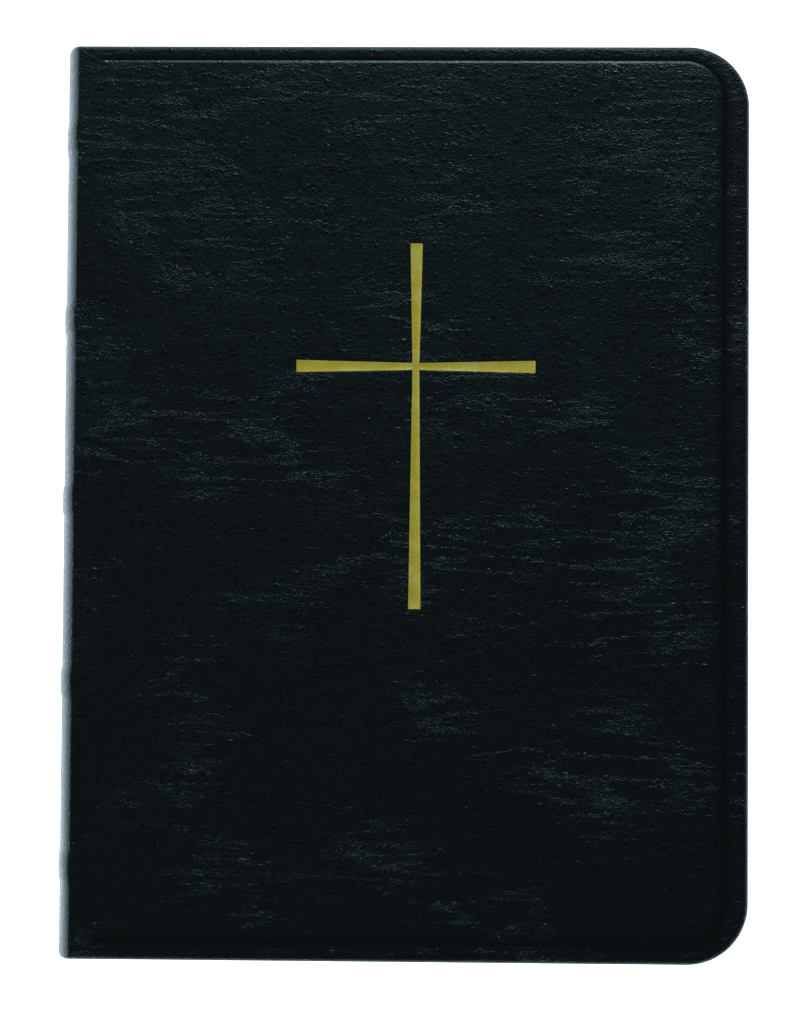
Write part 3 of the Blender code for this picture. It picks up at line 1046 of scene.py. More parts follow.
@dataclass(frozen=True)
class Wrinkle:
    """A shallow fold in the leather: a bowed line with soft ends. Sizes in millimetres."""

    x: float
    y: float
    length: float
    slope: float
    bow: float
    depth: float
    width: float = 0.9

    def height(self, x: float, y: float) -> float:
        """The fold's height at a place, with a low lip beside its groove."""
        along = (x - self.x) / (self.length / 2)
        if abs(along) > 1:
            return 0.0
        line = self.y + self.slope * (x - self.x) + self.bow * (1 - along * along)
        off = (y - line) / self.width
        if abs(off) > 4:
            return 0.0
        fade = (1 - along * along) ** 1.5
        groove = math.exp(-off * off)
        lip = math.exp(-((off + 1.7) ** 2) / 1.6)
        return self.depth * fade * (0.6 * lip - groove)


@dataclass(frozen=True)
class Wave:
    """A slow unevenness of the leather. All but the seed are in millimetres."""

    height: float
    across: float
    along: float
    seed: float

    def at(self, place: Vector) -> float:
        """The unevenness at a place, from -1 to 1."""
        return noise.noise(Vector((place.x / self.across, place.y / self.along, self.seed)))


@dataclass
class LeatherCase:
    """The limp leather case: two padded covers and a spine with five raised bands."""

    book: Book
    finishes: Finishes
    step: float = 0.8 * MM
    seam: float = 66.0
    arc_step: float = 3.0
    cover_depth: float = 1.7 * MM
    spine_depth: float = 0.85 * MM
    edge_radius: float = 0.85 * MM
    leather: float = 0.25 * MM
    crease_fore: float = 4.2 * MM
    crease_head: float = 2.5 * MM
    crease_tail: float = 3.2 * MM
    crease_depths: tuple[float, float, float] = (0.08 * MM, 0.125 * MM, 0.05 * MM)
    crease_width: float = 0.3 * MM
    padding: float = 0.06 * MM
    swell: float = 0.05 * MM
    recess: float = 0.2 * MM
    waves: tuple[Wave, ...] = (Wave(0.03, 24, 17, 1.7), Wave(0.03, 9, 5, 8.3), Wave(0.022, 11, 1.9, 4.1))
    rear_place: tuple[float, float] = (400.0, 150.0)
    beside_edge: tuple[float, ...] = (-0.3 * MM, -0.1 * MM, 0.08 * MM, 0.3 * MM)
    beside_end: tuple[float, ...] = (-0.3 * MM, -0.1 * MM, 0.1 * MM, 0.3 * MM)
    beside_crease: tuple[float, ...] = (0.55, 0.36, 0.22, 0.1, 0.0, -0.1, -0.22, -0.36, -0.55)
    edge_steps: int = 8
    burnish_width: float = 0.6 * MM
    bend_before: float = 0.75 * MM
    bend_beyond: float = 0.85 * MM
    fold_half: float = 1 * MM
    turn_ins: tuple[float, ...] = (1.5 * MM, 3.0 * MM, 5.0 * MM, 7.0 * MM)
    wrinkles: tuple[Wrinkle, ...] = (
        Wrinkle(-8, 58, 46, 0.02, 0.8, 0.05),
        Wrinkle(22, 52, 40, -0.03, -0.6, 0.045),
        Wrinkle(-26, 47, 34, 0.03, 0.5, 0.045),
        Wrinkle(30, 41, 36, 0.01, 0.7, 0.05),
        Wrinkle(-30, 36, 38, -0.02, -0.8, 0.05),
        Wrinkle(26, 31, 30, 0.04, 0.4, 0.04),
        Wrinkle(-28, 28, 36, 0.0, 0.9, 0.045),
        Wrinkle(-22, 16, 34, 0.03, -0.7, 0.045),
        Wrinkle(24, 13, 34, -0.02, 0.8, 0.045),
        Wrinkle(-14, 4, 26, 0.10, 1.4, 0.03),
        Wrinkle(-10, -14, 30, -0.16, -2.6, 0.03),
        Wrinkle(4, -21, 34, -0.10, -3.2, 0.03),
        Wrinkle(-16, -25, 28, 0.05, -1.5, 0.03),
        Wrinkle(20, -30, 30, 0.06, 1.0, 0.035),
    )

    def __post_init__(self) -> None:
        """Lays out the lines that the three pieces share."""
        self.cross = CrossShape(self.book.cross_x, self.book.cross_y)
        self.rings = self.make_rings()
        self.rows = self.make_rows()

    def make_rings(self) -> list[Ring]:
        """Lines round a cover's edge, from its corner centres to the inner rim of the turn-ins."""
        creases = (self.crease_fore, self.crease_head, self.crease_tail)
        corner = self.book.corner
        rings = [Ring(corner, corner, corner, 0.0, corner)]

        def add(insets: list[float]) -> None:
            """Adds a line on the outer face."""
            rings.append(Ring(*insets, 0.0, insets[0]))

        for share in (0.75, 0.5, 0.28):
            add([c + (corner - c) * share for c in creases])
        for beside in self.beside_crease:
            add([c + beside * MM for c in creases])
        for share in (0.62, 0.4, 0.22):
            add([self.edge_radius + (c - self.edge_radius) * share * 0.8 for c in creases])
        for step in range(self.edge_steps + 1):
            angle = math.pi * step / self.edge_steps
            inset = self.edge_radius * (1 - math.sin(angle))
            depth = self.cover_depth / 2 * (1 - math.cos(angle))
            rings.append(Ring(inset, inset, inset, depth, self.edge_radius * (1 - angle)))
        for inset in self.turn_ins:
            reach = self.edge_radius * (2 - math.pi) - inset
            rings.append(Ring(inset, inset, inset, self.cover_depth, reach))
        return rings

    def arm_lines(self, center: float) -> list[tuple[float, Arm | None]]:
        """The lines across one bar of the cross, with what ties each of them to it."""
        lines: list[tuple[float, Arm | None]] = [(center, None)]
        for side in (-1, 1):
            for offset in self.beside_edge:
                lines.append((center + side * (CrossShape.waist + offset), Arm(side, offset)))
        return lines

    def make_rows(self) -> list[Row]:
        """Lines from tail to head, the same on the covers and the spine."""
        limit = self.book.half_height - self.book.corner
        ends = (self.cross.y + self.cross.top, self.cross.y - self.cross.foot)
        marks = [(self.cross.y, CrossShape.end + 0.7 * MM)]
        marks += [(end, 0.5 * MM) for end in ends]
        places: list[tuple[float, Arm | None]] = []
        places += [(y, None) for y in spread(-limit, limit, self.step, marks)]
        places += self.arm_lines(self.cross.y)
        places += [(end + offset, None) for end in ends for offset in self.beside_end]
        places.sort(key=lambda place: place[0])
        last = len(self.rings) - 1
        rows = [Row(0.0, ring, -1) for ring in range(last, -1, -1)]
        rows += [Row(y, arm=arm) for y, arm in places[1:-1]]
        rows += [Row(0.0, ring, 1) for ring in range(0, last + 1)]
        return rows

    def arc(self, angle: float) -> Station:
        """A line along the round back, at an angle from mid-thickness."""
        a, b = self.book.round_depth, self.book.middle
        turn = math.radians(angle)
        along = self.back_length(int(abs(angle)))
        shoulder = ease(abs(angle), self.seam, 90)
        beyond = self.book.joint_x - along
        if angle < 0:
            beyond = self.book.joint_x - self.back_length(0) * 2 + along
        return Station(
            x=self.book.apex_x + a * (1 - math.cos(turn)),
            z=self.book.middle + b * math.sin(turn),
            lean=math.atan2(b * math.cos(turn), a * math.sin(turn)),
            along=beyond,
            fullness=lerp(self.spine_depth, self.cover_depth, shoulder) / self.cover_depth,
        )

    def back_length(self, start: int) -> float:
        """The length round the back from an angle in whole degrees to a joint."""
        a, b = self.book.round_depth, self.book.middle
        return sum(
            math.hypot(a * math.sin(t), b * math.cos(t)) * math.radians(1)
            for t in (math.radians(d + 0.5) for d in range(start, 90))
        )

    def cover_stations(self, crossed: bool) -> list[Station]:
        """Lines across a cover, from the seam on the spine to the fore edge."""
        count = round((90 - self.seam) / self.arc_step)
        stations = [self.arc(self.seam + self.arc_step * i) for i in range(count + 1)]
        top = self.book.thickness
        start, limit = self.book.joint_x, self.book.fore_x - self.book.corner
        marks, ends = [], []
        if crossed:
            ends = [self.cross.x - self.cross.side, self.cross.x + self.cross.side]
            marks = [(self.cross.x, CrossShape.end + 0.7 * MM)] + [(end, 0.5 * MM) for end in ends]
        near = [start + v * MM for v in (0.4, 0.8, 1.3, 1.9, 2.6, 3.2)]
        places: list[tuple[float, Arm | None]] = [(x, None) for x in near]
        places += [(x, None) for x in spread(near[-1], limit, self.step, marks)[1:-1]]
        if crossed:
            places += self.arm_lines(self.cross.x)
            places += [(end + offset, None) for end in ends for offset in self.beside_end]
        places.sort(key=lambda place: place[0])
        stations += [Station(x, top, along=x, arm=arm) for x, arm in places]
        stations += [Station(0.0, top, ring=ring) for ring in range(len(self.rings))]
        return stations

    def crease_distance(self, spot: Spot) -> float:
        """How far a point lies inside the crease: negative outside it."""
        if spot.share >= 0:
            side = self.crease_head if spot.side > 0 else self.crease_tail
            return spot.inset - lerp(self.crease_fore, side, spot.share)
        x, y = spot.point.x, spot.point.y
        return min(
            self.book.fore_x - x - self.crease_fore,
            self.book.half_height - y - self.crease_head,
            self.book.half_height + y - self.crease_tail,
        )

    def burnish(self, spot: Spot) -> float:
        """How far the creasing tool has smoothed the leather at a point."""
        if spot.depth > 0:
            return 0.0
        line = math.exp(-((self.crease_distance(spot) / self.burnish_width) ** 2))
        return line * ease(spot.point.x - self.book.joint_x, 3.0 * MM, 4.4 * MM)

    def crease_here(self, spot: Spot) -> float:
        """The crease's depth at the edge nearest to a point."""
        fore, head, tail = self.crease_depths
        if spot.share >= 0:
            return lerp(fore, head if spot.side > 0 else tail, spot.share)
        return fore

    def cover_relief(self, spot: Spot, station: Station, pressed: bool) -> float:
        """The height of a cover's padded, creased and wrinkled face.

        Args:
            spot: A crossing on the cover.
            station: The line that it lies on.
            pressed: Whether the cross is pressed into this cover.

        Returns:
            The height above the flat face.
        """
        if spot.depth > 0:
            return 0.0
        x, y = spot.point.x, spot.point.y
        from_joint = x - self.book.joint_x
        if from_joint < 0:
            return self.book.band(y) * math.sin(station.lean) * ease(station.lean, 0.0, 0.6)
        inside = self.crease_distance(spot)
        near_joint = ease(from_joint, 3.2 * MM, 4.6 * MM)
        groove = -self.crease_here(spot) * math.exp(-((inside / self.crease_width) ** 2)) * near_joint
        from_edge = max(0.0, inside)
        raised = (1 - math.exp(-from_edge / (0.8 * MM))) * ease(from_joint, 0.5 * MM, 5 * MM)
        broad = (1 - math.exp(-from_edge / (6 * MM))) * ease(from_joint, 0.5 * MM, 14 * MM)
        swell = self.padding * raised + self.swell * broad
        place = Vector((x, y, 0.0)) / MM
        if not pressed:
            place += Vector((*self.rear_place, 0.0))
        waves = sum(wave.height * wave.at(place) for wave in self.waves)
        middling = self.waves[1].at(place)
        folds = sum(fold.height(x / MM, y / MM) for fold in self.wrinkles)
        if not pressed:
            folds *= 0.7
        lift = (waves * raised + folds * ease(inside, 0.5 * MM, 3 * MM)) * MM
        on_border = ease(-inside, 0.3 * MM, 1.0 * MM) * ease(spot.inset, 0.9 * MM, 1.6 * MM)
        border = 0.01 * MM * middling * on_border
        total = groove + swell + lift + border
        return total - self.press_depth(x, y) if pressed else total

    def face_height(self, x: float, y: float) -> float:
        """The height of the front cover's face at a place, without the pressed cross."""
        spot = Spot(Vector((x, y, 0.0)), UP, 0.0, (x, y), 1.0, -1.0, 0)
        return self.cover_relief(spot, Station(x, 0.0), True) + self.press_depth(x, y)

    def press_depth(self, x: float, y: float) -> float:
        """How far the cross is pressed in at a place."""
        depth = self.cross.inside(x, y)
        press = ease(depth, -0.09 * MM, 0.09 * MM)
        shoulder = 0.05 * MM * math.exp(-max(0.0, -depth) / (0.35 * MM)) * (1 - press)
        return press * self.recess + shoulder

    def spine_relief(self, spot: Spot, station: Station) -> float:
        """The height of the raised bands and the leather's unevenness between them."""
        if spot.depth > 0:
            return 0.0
        y = spot.point.y
        angle = abs(spot.point.z - self.book.middle) / self.book.middle
        quiet = 1 - ease(angle, 0.7, 0.9)
        uneven = noise.noise(Vector((spot.point.z / MM / 7, y / MM / 6, 2.2)))
        return self.book.band(y) * math.sin(station.lean) + 0.04 * MM * uneven * quiet

    def build(self) -> None:
        """Builds and dresses the covers' leather and the spine's."""
        for half in Half:
            front = half is Half.FRONT
            sheet = Sheet(
                self.book,
                self.book.fore_x,
                self.book.half_height,
                self.book.corner,
                self.rings,
                self.cover_stations(front),
                self.rows,
                half,
            )
            obj = sheet.build(
                f"{half.cover}_skin",
                self.leather,
                lambda spot, station, pressed=front: self.cover_relief(spot, station, pressed),
                self.cross if front else None,
                self.burnish,
            )
            self.finishes.leather.dress(obj, "leather")
            half.block
            half.cover
            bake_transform(obj)
            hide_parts(f"{half.cover}_leather")
            LOG.info("%s: %d points", obj.name, len(obj.data.vertices))
        self.build_spine()

    def build_spine(self) -> None:
        """Builds the spine's leather round the back."""
        count = round(self.seam / self.arc_step)
        angles = [self.arc_step * i for i in range(-count, count + 1)]
        stations = [self.arc(angle) for angle in sorted(angles + [-1.5, 1.5])]
        book = self.book
        sheet = Sheet(book, book.fore_x, book.half_height, book.corner, self.rings, stations, self.rows)
        obj = sheet.build("spine_skin", self.leather, self.spine_relief)
        self.finishes.leather.dress(obj, "leather")
        Half.REAR.block
        Half.FRONT.block
        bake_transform(obj)
        halves = [f"{kind}_{half.value}" for half in Half for kind in ("spine_leather", *BAND_NAMES)]
        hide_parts(*halves)
        LOG.info("%s: %d points, standing for %s", obj.name, len(obj.data.vertices), halves)


@dataclass
class GoldCross:
    """The gold foil in the cover: a shallow dish that follows the pressed cross."""

    book: Book
    finishes: Finishes
    foil: float = 0.05 * MM
    rim_height: float = -0.03 * MM
    dish: float = 0.11 * MM
    dish_wall: float = 0.16 * MM
    narrow: float = 0.03 * MM
    end_line: float = 0.12 * MM
    step: float = 0.8 * MM

    def lines(self, low: float, center: float, high: float) -> list[float]:
        """Lines along one direction: across the bar that runs the other way, and on to the ends."""
        waist = CrossShape.waist
        places = [center + waist * share for share in (-1.0, -0.6, 0.0, 0.6, 1.0)]
        for end in (low, high):
            way = 1 if end > center else -1
            first = center + way * waist * 1.6
            count = math.ceil(abs(end - first) / self.step)
            places += [lerp(first, end, i / count) for i in range(count)]
            places += [end - way * self.end_line, end]
        return sorted(places)

    def build(self, relief: Callable[[float, float], float]) -> None:
        """Builds and dresses the foil.

        Args:
            relief: The height of the cover's face round the cross, without the pressed shape.
        """
        cross = CrossShape(self.book.cross_x, self.book.cross_y)
        columns = self.lines(cross.x - cross.side, cross.x, cross.x + cross.side)
        rows = self.lines(cross.y - cross.foot, cross.y, cross.y + cross.top)
        grid, maps = [], []
        for x in columns:
            line, flat = [], []
            for y in rows:
                point = Vector((x, y, 0.0))
                across = (x - cross.x) / cross.waist
                if abs(across) <= 1:
                    point.x = cross.x + across * (cross.upright_half(y) - self.narrow)
                up = (y - cross.y) / cross.waist
                if abs(up) <= 1:
                    point.y = cross.y + up * (cross.beam_half(x) - self.narrow)
                depth = max(0.0, cross.inside(point.x, point.y) - self.narrow)
                bowl = self.dish * (1 - math.exp(-depth / self.dish_wall))
                point.z = self.book.thickness + relief(point.x, point.y) + self.rim_height - bowl
                line.append(point)
                flat.append((point.x, point.y))
            grid.append(line)
            maps.append(flat)

        def keep(i: int, j: int) -> bool:
            """Whether a cell lies in the cross."""
            x = (columns[i] + columns[i + 1]) / 2 - cross.x
            y = (rows[j] + rows[j + 1]) / 2 - cross.y
            return abs(x) < cross.waist or abs(y) < cross.waist

        obj = make_mesh("cross_foil", grid, maps, self.foil, UP, keep)
        self.finishes.foil.dress(obj, "gold_foil")
        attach(obj, Half.FRONT.cover)
        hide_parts("gold_cross")
        LOG.info("%s: %d points", obj.name, len(obj.data.vertices))


# --------------------------------------------------------------------------------------------------
# Paper
# --------------------------------------------------------------------------------------------------


@dataclass
class Papers:
    """The endpapers, the flyleaves and the loose leaves at the middle."""

    book: Book
    finishes: Finishes
    margin: float = 3.4 * MM
    pasted_face: float = 1.79 * MM
    block_face: float = 2.1 * MM
    sheet: float = 0.05 * MM
    step: float = 3.0 * MM
    stub: tuple[float, ...] = (1.8, 0.9, 0.2)
    fold_turns: int = 12
    fly_start: float = 0.3 * MM
    fly_bend: float = 2.3 * MM
    leaf_bend: float = 1.4 * MM
    fly_near: tuple[float, ...] = (0, 0.2, 0.4, 0.6, 0.8, 1.0, 1.2, 1.4, 1.6, 1.8, 2.0, 2.2, 2.5, 3.0, 4.0)
    leaf_near: tuple[float, ...] = (0, 0.15, 0.3, 0.45, 0.6, 0.75, 0.9, 1.05, 1.2, 1.35, 1.6, 2.0, 3.0)

    def edge_rings(self, corner: float) -> list[Ring]:
        """Plain lines round a flat sheet's corners."""
        shares = (1.0, 0.66, 0.33, 0.0)
        return [Ring(corner * s, corner * s, corner * s, 0.0, corner * s) for s in shares]

    def edge_rows(self, half_height: float, corner: float) -> list[Row]:
        """Lines from tail to head of a flat sheet."""
        last = len(self.edge_rings(corner)) - 1
        limit = half_height - corner
        rows = [Row(0.0, ring, -1) for ring in range(last, -1, -1)]
        rows += [Row(y) for y in spread(-limit, limit, self.step, [])[1:-1]]
        rows += [Row(0.0, ring, 1) for ring in range(0, last + 1)]
        return rows

    def flat_sheet(
        self, name: str, far: Vector, start: float, near: tuple[float, ...], thickness: float
    ) -> Object:
        """A flat leaf with round fore corners, its own lines close together by the hinge.

        Args:
            name: The piece's name.
            far: Its highest corner, at the fore edge and the head.
            start: Where it starts beside the hinge.
            near: Millimetres from the start to each of the lines by the hinge.
            thickness: Its thickness, below the upper face.

        Returns:
            The new object.
        """
        corner = self.book.leaf_corner
        rings = self.edge_rings(corner)
        places = [start + v * MM for v in near]
        places += spread(places[-1], far.x - corner, self.step, [])[1:-1]
        stations = [Station(x, far.z, along=x) for x in places]
        stations += [Station(0.0, far.z, ring=ring) for ring in range(len(rings))]
        rows = self.edge_rows(far.y, corner)
        return Sheet(self.book, far.x, far.y, corner, rings, stations, rows).build(name, thickness)

    def endpaper(self, half: Half) -> None:
        """A pastedown that runs on over the joint to a stub on the first leaf."""
        book = self.book
        top = book.thickness
        corner = book.corner - self.margin
        rings = self.edge_rings(corner)
        fore, tall = book.fore_x - self.margin, book.block_half_height
        joint = book.joint_x
        inner = top - self.block_face
        stations = [Station(joint + v * MM, inner, along=joint - (v + 2) * MM) for v in self.stub]
        for i in range(self.fold_turns + 1):
            angle = math.pi * i / self.fold_turns
            x = joint + 0.1 * MM - 0.14 * MM * math.sin(angle)
            middle = (self.block_face + self.pasted_face) / 2
            reach = (self.block_face - self.pasted_face) / 2
            z = top - middle - reach * math.cos(angle)
            stations.append(Station(x, z, along=joint - 2 * MM + 0.1 * MM * i))
        flat = [joint + v * MM for v in (0.3, 0.8, 1.5)]
        flat += spread(flat[-1], fore - corner, self.step, [])[1:-1]
        stations += [Station(x, top - self.pasted_face, along=x) for x in flat]
        stations += [Station(0.0, top - self.pasted_face, ring=ring) for ring in range(len(rings))]
        rows = self.edge_rows(tall, corner)
        sheet = Sheet(book, fore, tall, corner, rings, stations, rows, half)
        obj = sheet.build(f"{half.value}_endpaper", self.sheet)
        obj.modifiers["thickness"].offset = 1
        self.finishes.endpaper.dress(obj, "endpaper")
        low, high = top - self.block_face, top - self.pasted_face
        if half is Half.REAR:
            low, high = top - low, top - high
        half.block
        half.cover
        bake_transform(obj)
        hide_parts("front_pastedown" if half is Half.FRONT else "back_pastedown")
        LOG.info("%s: %d points", obj.name, len(obj.data.vertices))

    def gild(self, sheet: Object) -> None:
        """Puts gold on a leaf's rim, as on the edges of the leaves around it."""
        sheet.data.materials.append(self.finishes.gilt.material)
        sheet.modifiers["thickness"].material_offset_rim = 1

    def flyleaf(self, half: Half) -> None:
        """The free leaf beside an endpaper."""
        node = f"{half.value}_flyleaf"
        low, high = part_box(node)
        start = self.book.joint_x + self.fly_start
        obj = self.flat_sheet(f"{node}_sheet", high, start, self.fly_near, high.z - low.z)
        self.finishes.endpaper.dress(obj, "endpaper")
        self.gild(obj)
        half.block
        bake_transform(obj)
        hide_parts(node)
        LOG.info("%s: %d points", obj.name, len(obj.data.vertices))

    def leaf(self, number: int) -> None:
        """One of the leaves that turn as the book opens at its middle."""
        node = f"leaf_{number}"
        low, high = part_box(node)
        obj = self.flat_sheet(f"{node}_sheet", high, low.x, self.leaf_near, high.z - low.z)
        self.finishes.paper.dress(obj, "paper")
        self.gild(obj)
        Half.REAR.block
        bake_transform(obj)
        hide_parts(node)
        LOG.info("%s: %d points", obj.name, len(obj.data.vertices))

    def build(self) -> None:
        """Builds and dresses every sheet."""
        for half in Half:
            self.endpaper(half)
            self.flyleaf(half)
        for number in range(1, LEAVES + 1):
            self.leaf(number)


@dataclass
class Sections:
    """The sewn sections of the block: leaves whose gilt edges show line by line."""

    book: Book
    finishes: Finishes
    layers: int = 13
    corner_steps: int = 7
    ledge: float = 0.035 * MM
    packed: float = 0.86

    def outline(self, height: float, inset: float) -> list[Vector]:
        """The leaves' outline at a height.

        Args:
            height: The height above the table.
            inset: How far the outline is drawn in.

        Returns:
            Points from the tail of the spine, round the fore edge, to its head.
        """
        book = self.book
        shift = book.back_shift(height)
        start, fore = book.block_x + shift, book.block_fore_x + shift - inset
        tall, corner = book.block_half_height - inset, book.leaf_corner
        points = [Vector((start, -tall, height)), Vector((lerp(start, fore, 0.5), -tall, height))]
        for side in (-1, 1):
            for i in range(self.corner_steps + 1):
                angle = math.pi / 2 * i / self.corner_steps
                if side < 0:
                    angle = math.pi / 2 - angle
                x = fore - corner + corner * math.cos(angle)
                y = side * (tall - corner + corner * math.sin(angle))
                points.append(Vector((x, y, height)))
        points += [Vector((lerp(start, fore, 0.5), tall, height)), Vector((start, tall, height))]
        points += [Vector((start, tall * s, height)) for s in (0.6, 0.2, -0.2, -0.6)]
        return points

    def section(self, number: int) -> None:
        """Builds and dresses one section."""
        node = f"section_{number:02d}"
        low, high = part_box(node)
        levels = []
        for layer in range(self.layers):
            inset = self.ledge * (0.5 + 0.5 * noise.noise(Vector((number * 3.7, layer * 1.3, 0.5))))
            bottom = lerp(low.z, high.z, layer / self.layers)
            top = lerp(low.z, high.z, (layer + self.packed) / self.layers)
            levels += [(bottom, inset), (top, inset)]
            if layer < self.layers - 1:
                above = lerp(low.z, high.z, (layer + 1) / self.layers)
                levels += [(top, inset + self.ledge), (above, inset + self.ledge)]
        levels[-1] = (high.z, levels[-1][1])
        loops = [self.outline(z, inset) for z, inset in levels]
        size = len(loops[0])
        mesh = stack_loops(node, loops)
        self.map_faces(mesh, loops, size)
        obj = add_object(f"{node}_leaves", mesh)
        self.finishes.paper.dress(obj, "paper")
        obj.data.materials.append(self.finishes.gilt.material)
        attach(obj, Half.FRONT.block if number <= SECTIONS // 2 else Half.REAR.block)
        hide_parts(node)
        LOG.info("%s: %d points", obj.name, len(mesh.vertices))

    def map_faces(self, mesh: bpy.types.Mesh, loops: list[list[Vector]], size: int) -> None:
        """Gives pages their plan and edges their run and height, and splits the two finishes."""
        runs = [0.0]
        for i in range(size):
            runs.append(runs[-1] + (loops[0][(i + 1) % size] - loops[0][i]).length)
        layer = mesh.uv_layers.new(name=SURFACE_MAP)
        for face in mesh.polygons:
            page = len(face.vertices) == size
            face.material_index = 0 if page else 1
            columns = [mesh.loops[i].vertex_index % size for i in face.loop_indices]
            for index, column in zip(face.loop_indices, columns):
                place = mesh.vertices[mesh.loops[index].vertex_index].co / MM
                wraps = column == 0 and size - 1 in columns
                run = runs[size] if wraps else runs[column]
                layer.data[index].uv = (place.x, place.y) if page else (run / MM, place.z)

    def build(self) -> None:
        """Builds every section."""
        for number in range(1, SECTIONS + 1):
            self.section(number)


@dataclass
class Headbands:
    """Silk wound over a core at the head and tail of the spine."""

    book: Book
    finishes: Finishes
    ridges: float = 0.06 * MM
    pitch: float = 0.6 * MM
    around: int = 16
    steps: int = 90

    def build(self) -> None:
        """Builds and dresses the four half rolls."""
        for half in Half:
            for end, kind in ((End.HEAD, "headband"), (End.TAIL, "tailband")):
                self.roll(f"{kind}_{half.value}", half, end)

    def roll(self, node: str, half: Half, end: End) -> None:
        """One half roll, from mid-thickness to the block's face.

        Args:
            node: The solid that it stands for.
            half: The half of the book.
            end: The end of the spine.
        """
        low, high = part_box(node)
        radius = (high.y - low.y) / 2
        center_y = (high.y + low.y) / 2
        first = low.x + radius
        steps = self.steps
        innermost = self.book.back_shift(low.z if half is Half.FRONT else high.z)
        rings = []
        for i in range(steps + 1):
            z = lerp(low.z, high.z, i / steps)
            x = first + self.book.back_shift(z) - innermost
            ridge = self.ridges * (1 - abs(math.sin(math.pi * (z - self.book.middle) / self.pitch)))
            size = radius - ridge
            ring = []
            for k in range(self.around):
                angle = 2 * math.pi * k / self.around
                ring.append(Vector((x + size * math.cos(angle), center_y + size * math.sin(angle), z)))
            rings.append(ring)
        mesh = stack_loops(node, rings)
        n = self.around
        layer = mesh.uv_layers.new(name=SURFACE_MAP)
        for loop in mesh.loops:
            row, column = divmod(loop.vertex_index, n)
            layer.data[loop.index].uv = (rings[row][0].z / MM, column * 2 * math.pi * radius / n / MM)
        mesh.shade_smooth()
        obj = add_object(f"{node}_roll", mesh)
        self.finishes.silk.dress(obj, "headband_silk")
        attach(obj, half.block)
        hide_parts(node)
        LOG.info("%s at the %s: %d points", obj.name, end.name.lower(), len(mesh.vertices))


@dataclass
class InnerParts:
    """The boards and the spine's lining, which keep their own shapes."""

    frame: dict
    finishes: Finishes

    def build(self) -> None:
        """Gives each solid its finish."""
        dressed = {
            "front_board": self.finishes.board,
            "back_board": self.finishes.board,
            "spine_lining_front": self.finishes.cloth,
            "spine_lining_rear": self.finishes.cloth,
        }
        for node, finish in dressed.items():
            obj = self.frame["nodes"][node]
            obj.data.materials.clear()
            obj.data.materials.append(finish.material)
            LOG.info("%s: %s", node, finish.name)


# --------------------------------------------------------------------------------------------------
# Studio
# --------------------------------------------------------------------------------------------------


@dataclass
class SoftLight:
    """A soft box that looks at the book."""

    name: str
    place: Vector
    target: Vector
    width: float
    height: float
    power: float
    color: Color

    def build(self) -> None:
        """Puts the light in the scene."""
        data = bpy.data.lights.new(self.name, "AREA")
        data.shape = "RECTANGLE"
        data.size, data.size_y = self.width, self.height
        data.energy = self.power
        data.color = self.color
        obj = bpy.data.objects.new(self.name, data)
        obj.location = self.place
        obj.rotation_mode = "QUATERNION"
        obj.rotation_quaternion = (self.target - self.place).to_track_quat("-Z", "Y")
        bpy.context.scene.collection.objects.link(obj)
        LOG.info("light %s: %.1f W", self.name, self.power)


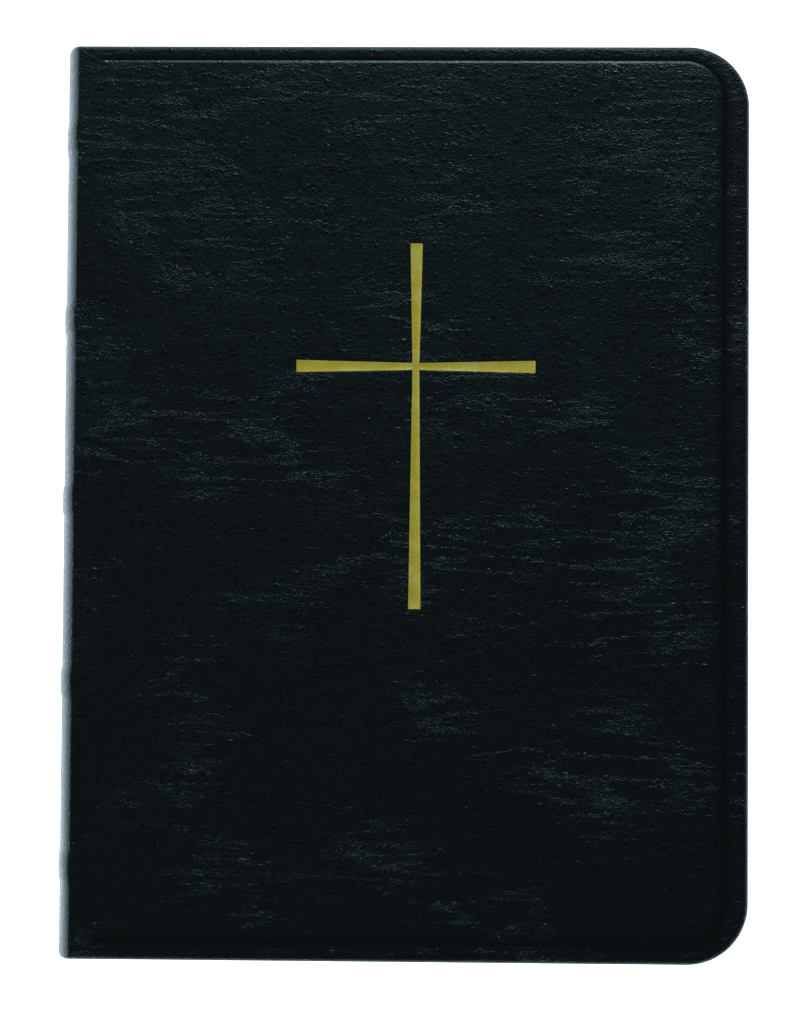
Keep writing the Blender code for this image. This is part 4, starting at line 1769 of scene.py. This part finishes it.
@dataclass
class Studio:
    """A white floor, soft light from the head of the book, and the camera above it."""

    finishes: Finishes
    camera_place: tuple[float, float, float] = (13.07 * MM, -25.09 * MM, 528 * MM)
    tilt: float = 2.65
    roll_side: float = 1.52
    spin: float = 0.34
    lens: float = 104.2
    floor_size: float = 12.0
    floor_drop: float = 0.2 * MM
    horizon: Color = (0.80, 0.90, 1.0)
    horizon_strength: float = 1.05
    zenith: Color = (0.02, 0.028, 0.03)

    def build(self) -> None:
        """Builds the stage."""
        self.build_camera()
        self.build_floor()
        self.build_sky()
        for light in self.lights():
            light.build()
        bpy.context.scene.view_settings.view_transform = "Standard"

    def build_camera(self) -> None:
        """Looks down on the cover from half a metre."""
        data = bpy.data.cameras.new("camera")
        data.lens = self.lens
        data.sensor_width = 36.0
        data.clip_start = 0.01
        obj = bpy.data.objects.new("camera", data)
        turned = Matrix.Rotation(math.radians(self.tilt), 4, "X")
        turned = turned @ Matrix.Rotation(math.radians(self.roll_side), 4, "Y")
        turned = turned @ Matrix.Rotation(math.radians(self.spin), 4, "Z")
        obj.matrix_world = Matrix.Translation(self.camera_place) @ turned
        bpy.context.scene.collection.objects.link(obj)
        bpy.context.scene.camera = obj

    def build_floor(self) -> None:
        """A wide floor, just below the book, that turns up at its far rim."""
        rings, around = 8, 48
        mesh = bpy.data.meshes.new("floor")
        points = [(0.0, 0.0, -self.floor_drop)]
        for ring in range(1, rings + 1):
            share = ring / rings
            radius = self.floor_size / 2 * share
            rise = 0.4 * max(0.0, share - 0.75) ** 2 * 16
            for k in range(around):
                angle = 2 * math.pi * k / around
                points.append((radius * math.cos(angle), radius * math.sin(angle), rise - self.floor_drop))
        faces = [(0, 1 + k, 1 + (k + 1) % around) for k in range(around)]
        for ring in range(rings - 1):
            base = 1 + ring * around
            for k in range(around):
                j = (k + 1) % around
                faces.append((base + k, base + around + k, base + around + j, base + j))
        mesh.from_pydata(points, [], faces)
        mesh.shade_smooth()
        floor = add_object("floor", mesh)
        floor.data.materials.append(self.finishes.floor.material)

    def build_sky(self) -> None:
        """White all round at the horizon and dim overhead."""
        world = bpy.data.worlds.new("studio")
        world.use_nodes = True
        bpy.context.scene.world = world
        wires = Wiring(world.node_tree)
        place = wires.node("TexCoord").outputs["Generated"]
        parts = wires.node("SeparateXYZ")
        wires.feed(parts.inputs[0], place)
        up = wires.span(parts.outputs["Z"], 0.15, 0.6, 0.0, 1.0)
        bright = tuple(c * self.horizon_strength for c in self.horizon)
        background = world.node_tree.nodes["Background"]
        wires.feed(background.inputs["Color"], wires.mix(up, bright, self.zenith))

    def lights(self) -> list[SoftLight]:
        """The soft boxes."""
        return [
            SoftLight(
                "key", Vector((0.12, 0.86, 0.70)), Vector((0, 0.05, 0)), 0.5, 0.25, 3.2, (0.88, 0.95, 1.0)
            ),
            SoftLight(
                "side", Vector((-1.0, 0.1, 0.35)), Vector((0, 0, 0)), 1.0, 0.5, 3.0, (0.86, 0.93, 1.0)
            ),
        ]


def main(frame: dict) -> None:
    """Builds the book and its studio.
    """
    logging.basicConfig(level=logging.INFO, format="%(name)s: %(message)s")
    book = Book.from_frame()
    finishes = Finishes.build(Effects.build())
    Studio(finishes).build()
    case = LeatherCase(book, finishes)
    case.build()
    GoldCross(book, finishes).build(case.face_height)
    Papers(book, finishes).build()
    Sections(book, finishes).build()
    Headbands(book, finishes).build()
    InnerParts(frame, finishes).build()


if __name__ == "__main__":
    main(frame)
